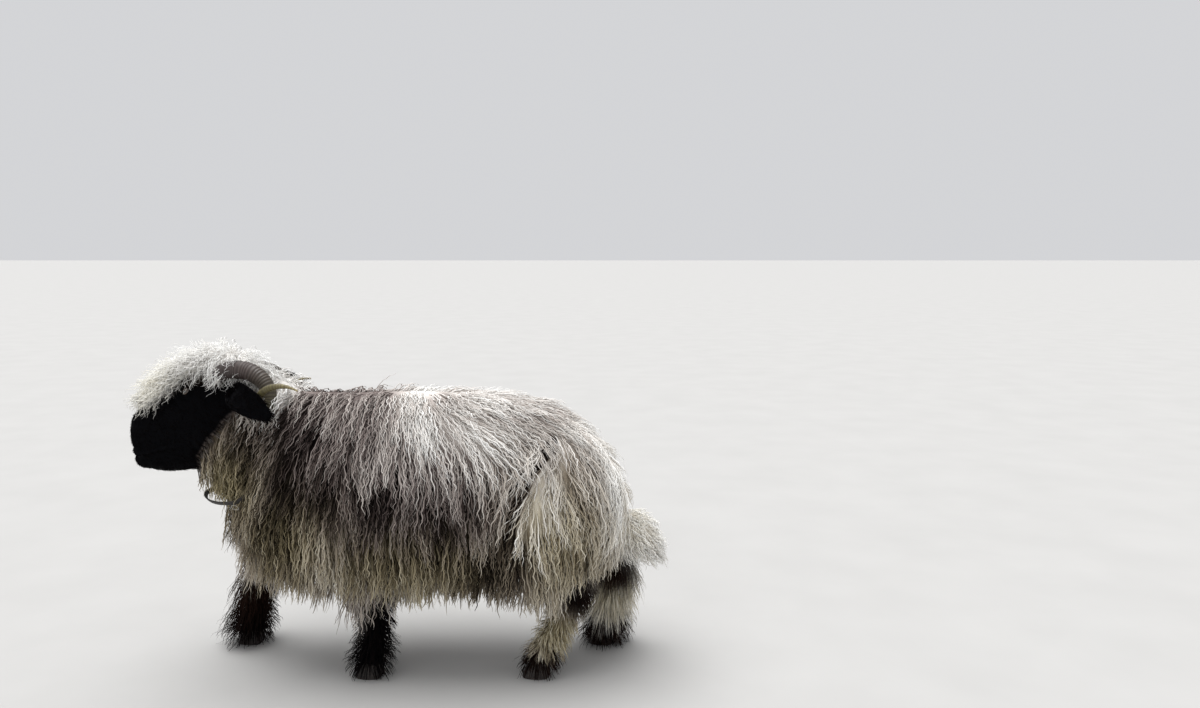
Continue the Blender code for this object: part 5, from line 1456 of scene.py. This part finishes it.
def collar_frames(steps):
    """Places on the strap's middle line, each with its outward, upward and forward directions."""
    left = [Vector(point) for point in COLLAR_LINE]
    right = [Vector((p.x, -p.y, p.z)) for p in left[-2:0:-1]]
    line = smooth_loop(left + right, steps)
    frames = []
    for i, point in enumerate(line):
        ahead = (line[(i + 1) % len(line)] - line[i - 1]).normalized()
        outward = point - COLLAR_MIDDLE
        outward = (outward - ahead * outward.dot(ahead)).normalized()
        frames.append((point, outward, ahead.cross(outward).normalized(), ahead))
    return frames


# %% Strap and ring
def leather_material():
    """Old harness leather: near-black, dry, with a fine grain about half a millimetre across."""
    made, tree, shader = new_material("old_harness_leather", 0.62)
    where = add(tree, "ShaderNodeTexCoord").node.outputs["Object"]
    grain = add(tree, "ShaderNodeTexVoronoi", {"Vector": where, "Scale": 1900.0})
    wear = add(tree, "ShaderNodeTexNoise", {"Vector": where, "Scale": 70.0, "Detail": 4.0})
    colour = ramp(tree, wear, ((0.35, "#0b0907"), (0.60, "#1a130f"), (0.80, "#33261c")))
    tree.links.new(colour, shader.inputs["Base Color"])
    bump = add(tree, "ShaderNodeBump", {"Strength": 0.35, "Distance": 0.0003, "Height": grain})
    tree.links.new(bump, shader.inputs["Normal"])
    return made


def steel_material():
    """Drawn steel wire, welded and dulled: grey, with fine scratches and spots of dirt."""
    made, tree, shader = new_material("dulled_steel_wire", 0.34)
    shader.inputs["Metallic"].default_value = 1.0
    where = add(tree, "ShaderNodeTexCoord").node.outputs["Object"]
    spots = add(tree, "ShaderNodeTexNoise", {"Vector": where, "Scale": 600.0, "Detail": 4.0})
    colour = ramp(tree, spots, ((0.35, "#6e6a64"), (0.60, "#b9b6b0")))
    rough = add(tree, "ShaderNodeMapRange", [spots, 0.3, 0.7, 0.5, 0.28])
    tree.links.new(colour, shader.inputs["Base Color"])
    tree.links.new(rough, shader.inputs["Roughness"])
    return made


def strap():
    width, wall = COLLAR_BAND
    rings = []
    for point, outward, upward, _ in collar_frames(COLLAR_STEPS * 6):
        rings.append([point + upward * across * width / 2 + outward * out * wall / 2
                      for across, out in BAND_SECTION])
    return lofted("collar_strap_leather", rings, closed=True)


def neck_ring():
    point, outward, upward, ahead = collar_frames(COLLAR_STEPS)[RING_PLACE]
    hanging = -upward if upward.z > 0 else upward
    centre = point + hanging * (COLLAR_BAND[0] / 2 + RING_WIRE + 0.0004 + RING_RADIUS)
    rings = []
    for i in range(48):
        angle = math.tau * i / 48
        radial = hanging * math.cos(angle) + ahead * math.sin(angle)
        turns = [math.tau * k / 12 for k in range(12)]
        rings.append([centre + radial * RING_RADIUS
                      + (radial * math.cos(t) + outward * math.sin(t)) * RING_WIRE for t in turns])
    return lofted("collar_ring_steel", rings, closed=True)


collar = {"collar_strap": strap(), "collar_ring": neck_ring()}
collar["collar_strap"].data.materials.append(leather_material())
collar["collar_ring"].data.materials.append(steel_material())
for thing in collar.values():
    thing.data.shade_smooth()

# %% [markdown]
# ## Into the frame
#
# Every finished piece is moved to its solid's place in its own mesh, so that its object stays at the origin.
# It rides on the one body and stands for the solids that it hides.

# %% Place the pieces and hide the solids they stand for
FLESH = ("torso", "hindquarters", "neck", "head", "tail", *LEGS, "ear_left", "ear_right")


def settle(thing, slot, *nodes):
    thing.data.transform(Matrix.Translation(SHIFT))
    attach(thing, "root")
    if nodes:
        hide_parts(*nodes)


skin.data.materials.clear()
skin.data.materials.append(skin_wool)
for name in ("lie", "wool", "cover", "zone"):
    skin.data.attributes.remove(skin.data.attributes[name])
settle(skin, "fleece", *FLESH)
COAT_SLOTS = {"face_hair": "face_wool", "leg_hair": "leg_wool", "ear_hair": "ear_skin"}
for coat in coats:
    settle(coat, COAT_SLOTS.get(coat.name, "fleece"))
for word in SIDES:
    settle(horns[word], "ridged_horn", f"horn_{word}")
    settle(eyes[word], "eye_gloss", f"eye_{word}")
for node, thing in claws.items():
    settle(thing, "hoof_horn", node)
settle(collar["collar_strap"], "collar_leather", "collar_strap")
settle(collar["collar_ring"], "collar_steel", "collar_ring")

# %% [markdown]
# ## Floor, light and camera
#
# The sheep stands on a plain pale floor under an even sky, as on an overcast day, with one broad light from
# above and behind, which brightens its back, and a weak one from the front. The camera stands where the photographer stood: 1.15 m high, 2.6 m to the animal's left, 6 degrees down.

# %% Stage, lights and camera
FLOOR_SIZE = 400.0
CAMERA_AT = Vector((0.566, -2.600, 1.150))
CAMERA_PITCH = math.radians(-6.0)
FOCAL_PIXELS, FRAME_WIDTH = 942.0, 1200.0
SENSOR = 36.0
SUNS = (("key_light", (-0.5, 0.3, 2.6), 60.0, 3.4), ("fill_light", (-1.2, -2.2, 1.4), 70.0, 0.35))
SKY_STRENGTH = 0.68


def floor_material():
    """Matt painted studio floor with the faintest mottling."""
    made, tree, shader = new_material("pale_studio_floor", 0.9)
    where = add(tree, "ShaderNodeTexCoord").node.outputs["Object"]
    mottle = add(tree, "ShaderNodeTexNoise", {"Vector": where, "Scale": 3.0, "Detail": 3.0})
    tree.links.new(ramp(tree, mottle, ((0.3, "#b0afad"), (0.7, "#b4b3b1"))), shader.inputs["Base Color"])
    return made


half = FLOOR_SIZE / 2
floor = mesh_object("studio_floor", [(-half, -half, 0), (half, -half, 0), (half, half, 0), (-half, half, 0)],
                    [(0, 1, 2, 3)])
floor.data.materials.append(floor_material())

for name, direction, spread, strength in SUNS:
    lamp = bpy.data.lights.new(name, "SUN")
    lamp.angle = math.radians(spread)
    lamp.energy = strength
    lamp_object = bpy.data.objects.new(name, lamp)
    lamp_object.rotation_euler = Vector(direction).to_track_quat("Z", "Y").to_euler()
    bpy.context.scene.collection.objects.link(lamp_object)

world = bpy.data.worlds.new("overcast")
world.use_nodes = True
world.node_tree.nodes["Background"].inputs["Color"].default_value = linear("#fbfcff")
world.node_tree.nodes["Background"].inputs["Strength"].default_value = SKY_STRENGTH
bpy.context.scene.world = world
bpy.context.scene.view_settings.view_transform = "Standard"

eye_point = bpy.data.cameras.new("photo_view")
eye_point.sensor_width = SENSOR
eye_point.sensor_fit = "HORIZONTAL"
eye_point.lens = FOCAL_PIXELS / FRAME_WIDTH * SENSOR
camera = bpy.data.objects.new("photo_view", eye_point)
camera.location = CAMERA_AT + Vector((SHIFT.x, SHIFT.y, 0.0))
camera.rotation_euler = (math.radians(90.0) + CAMERA_PITCH, 0.0, 0.0)
bpy.context.scene.collection.objects.link(camera)
bpy.context.scene.camera = camera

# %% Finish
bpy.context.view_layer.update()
print("made in", round(time.time() - started, 1), "s")
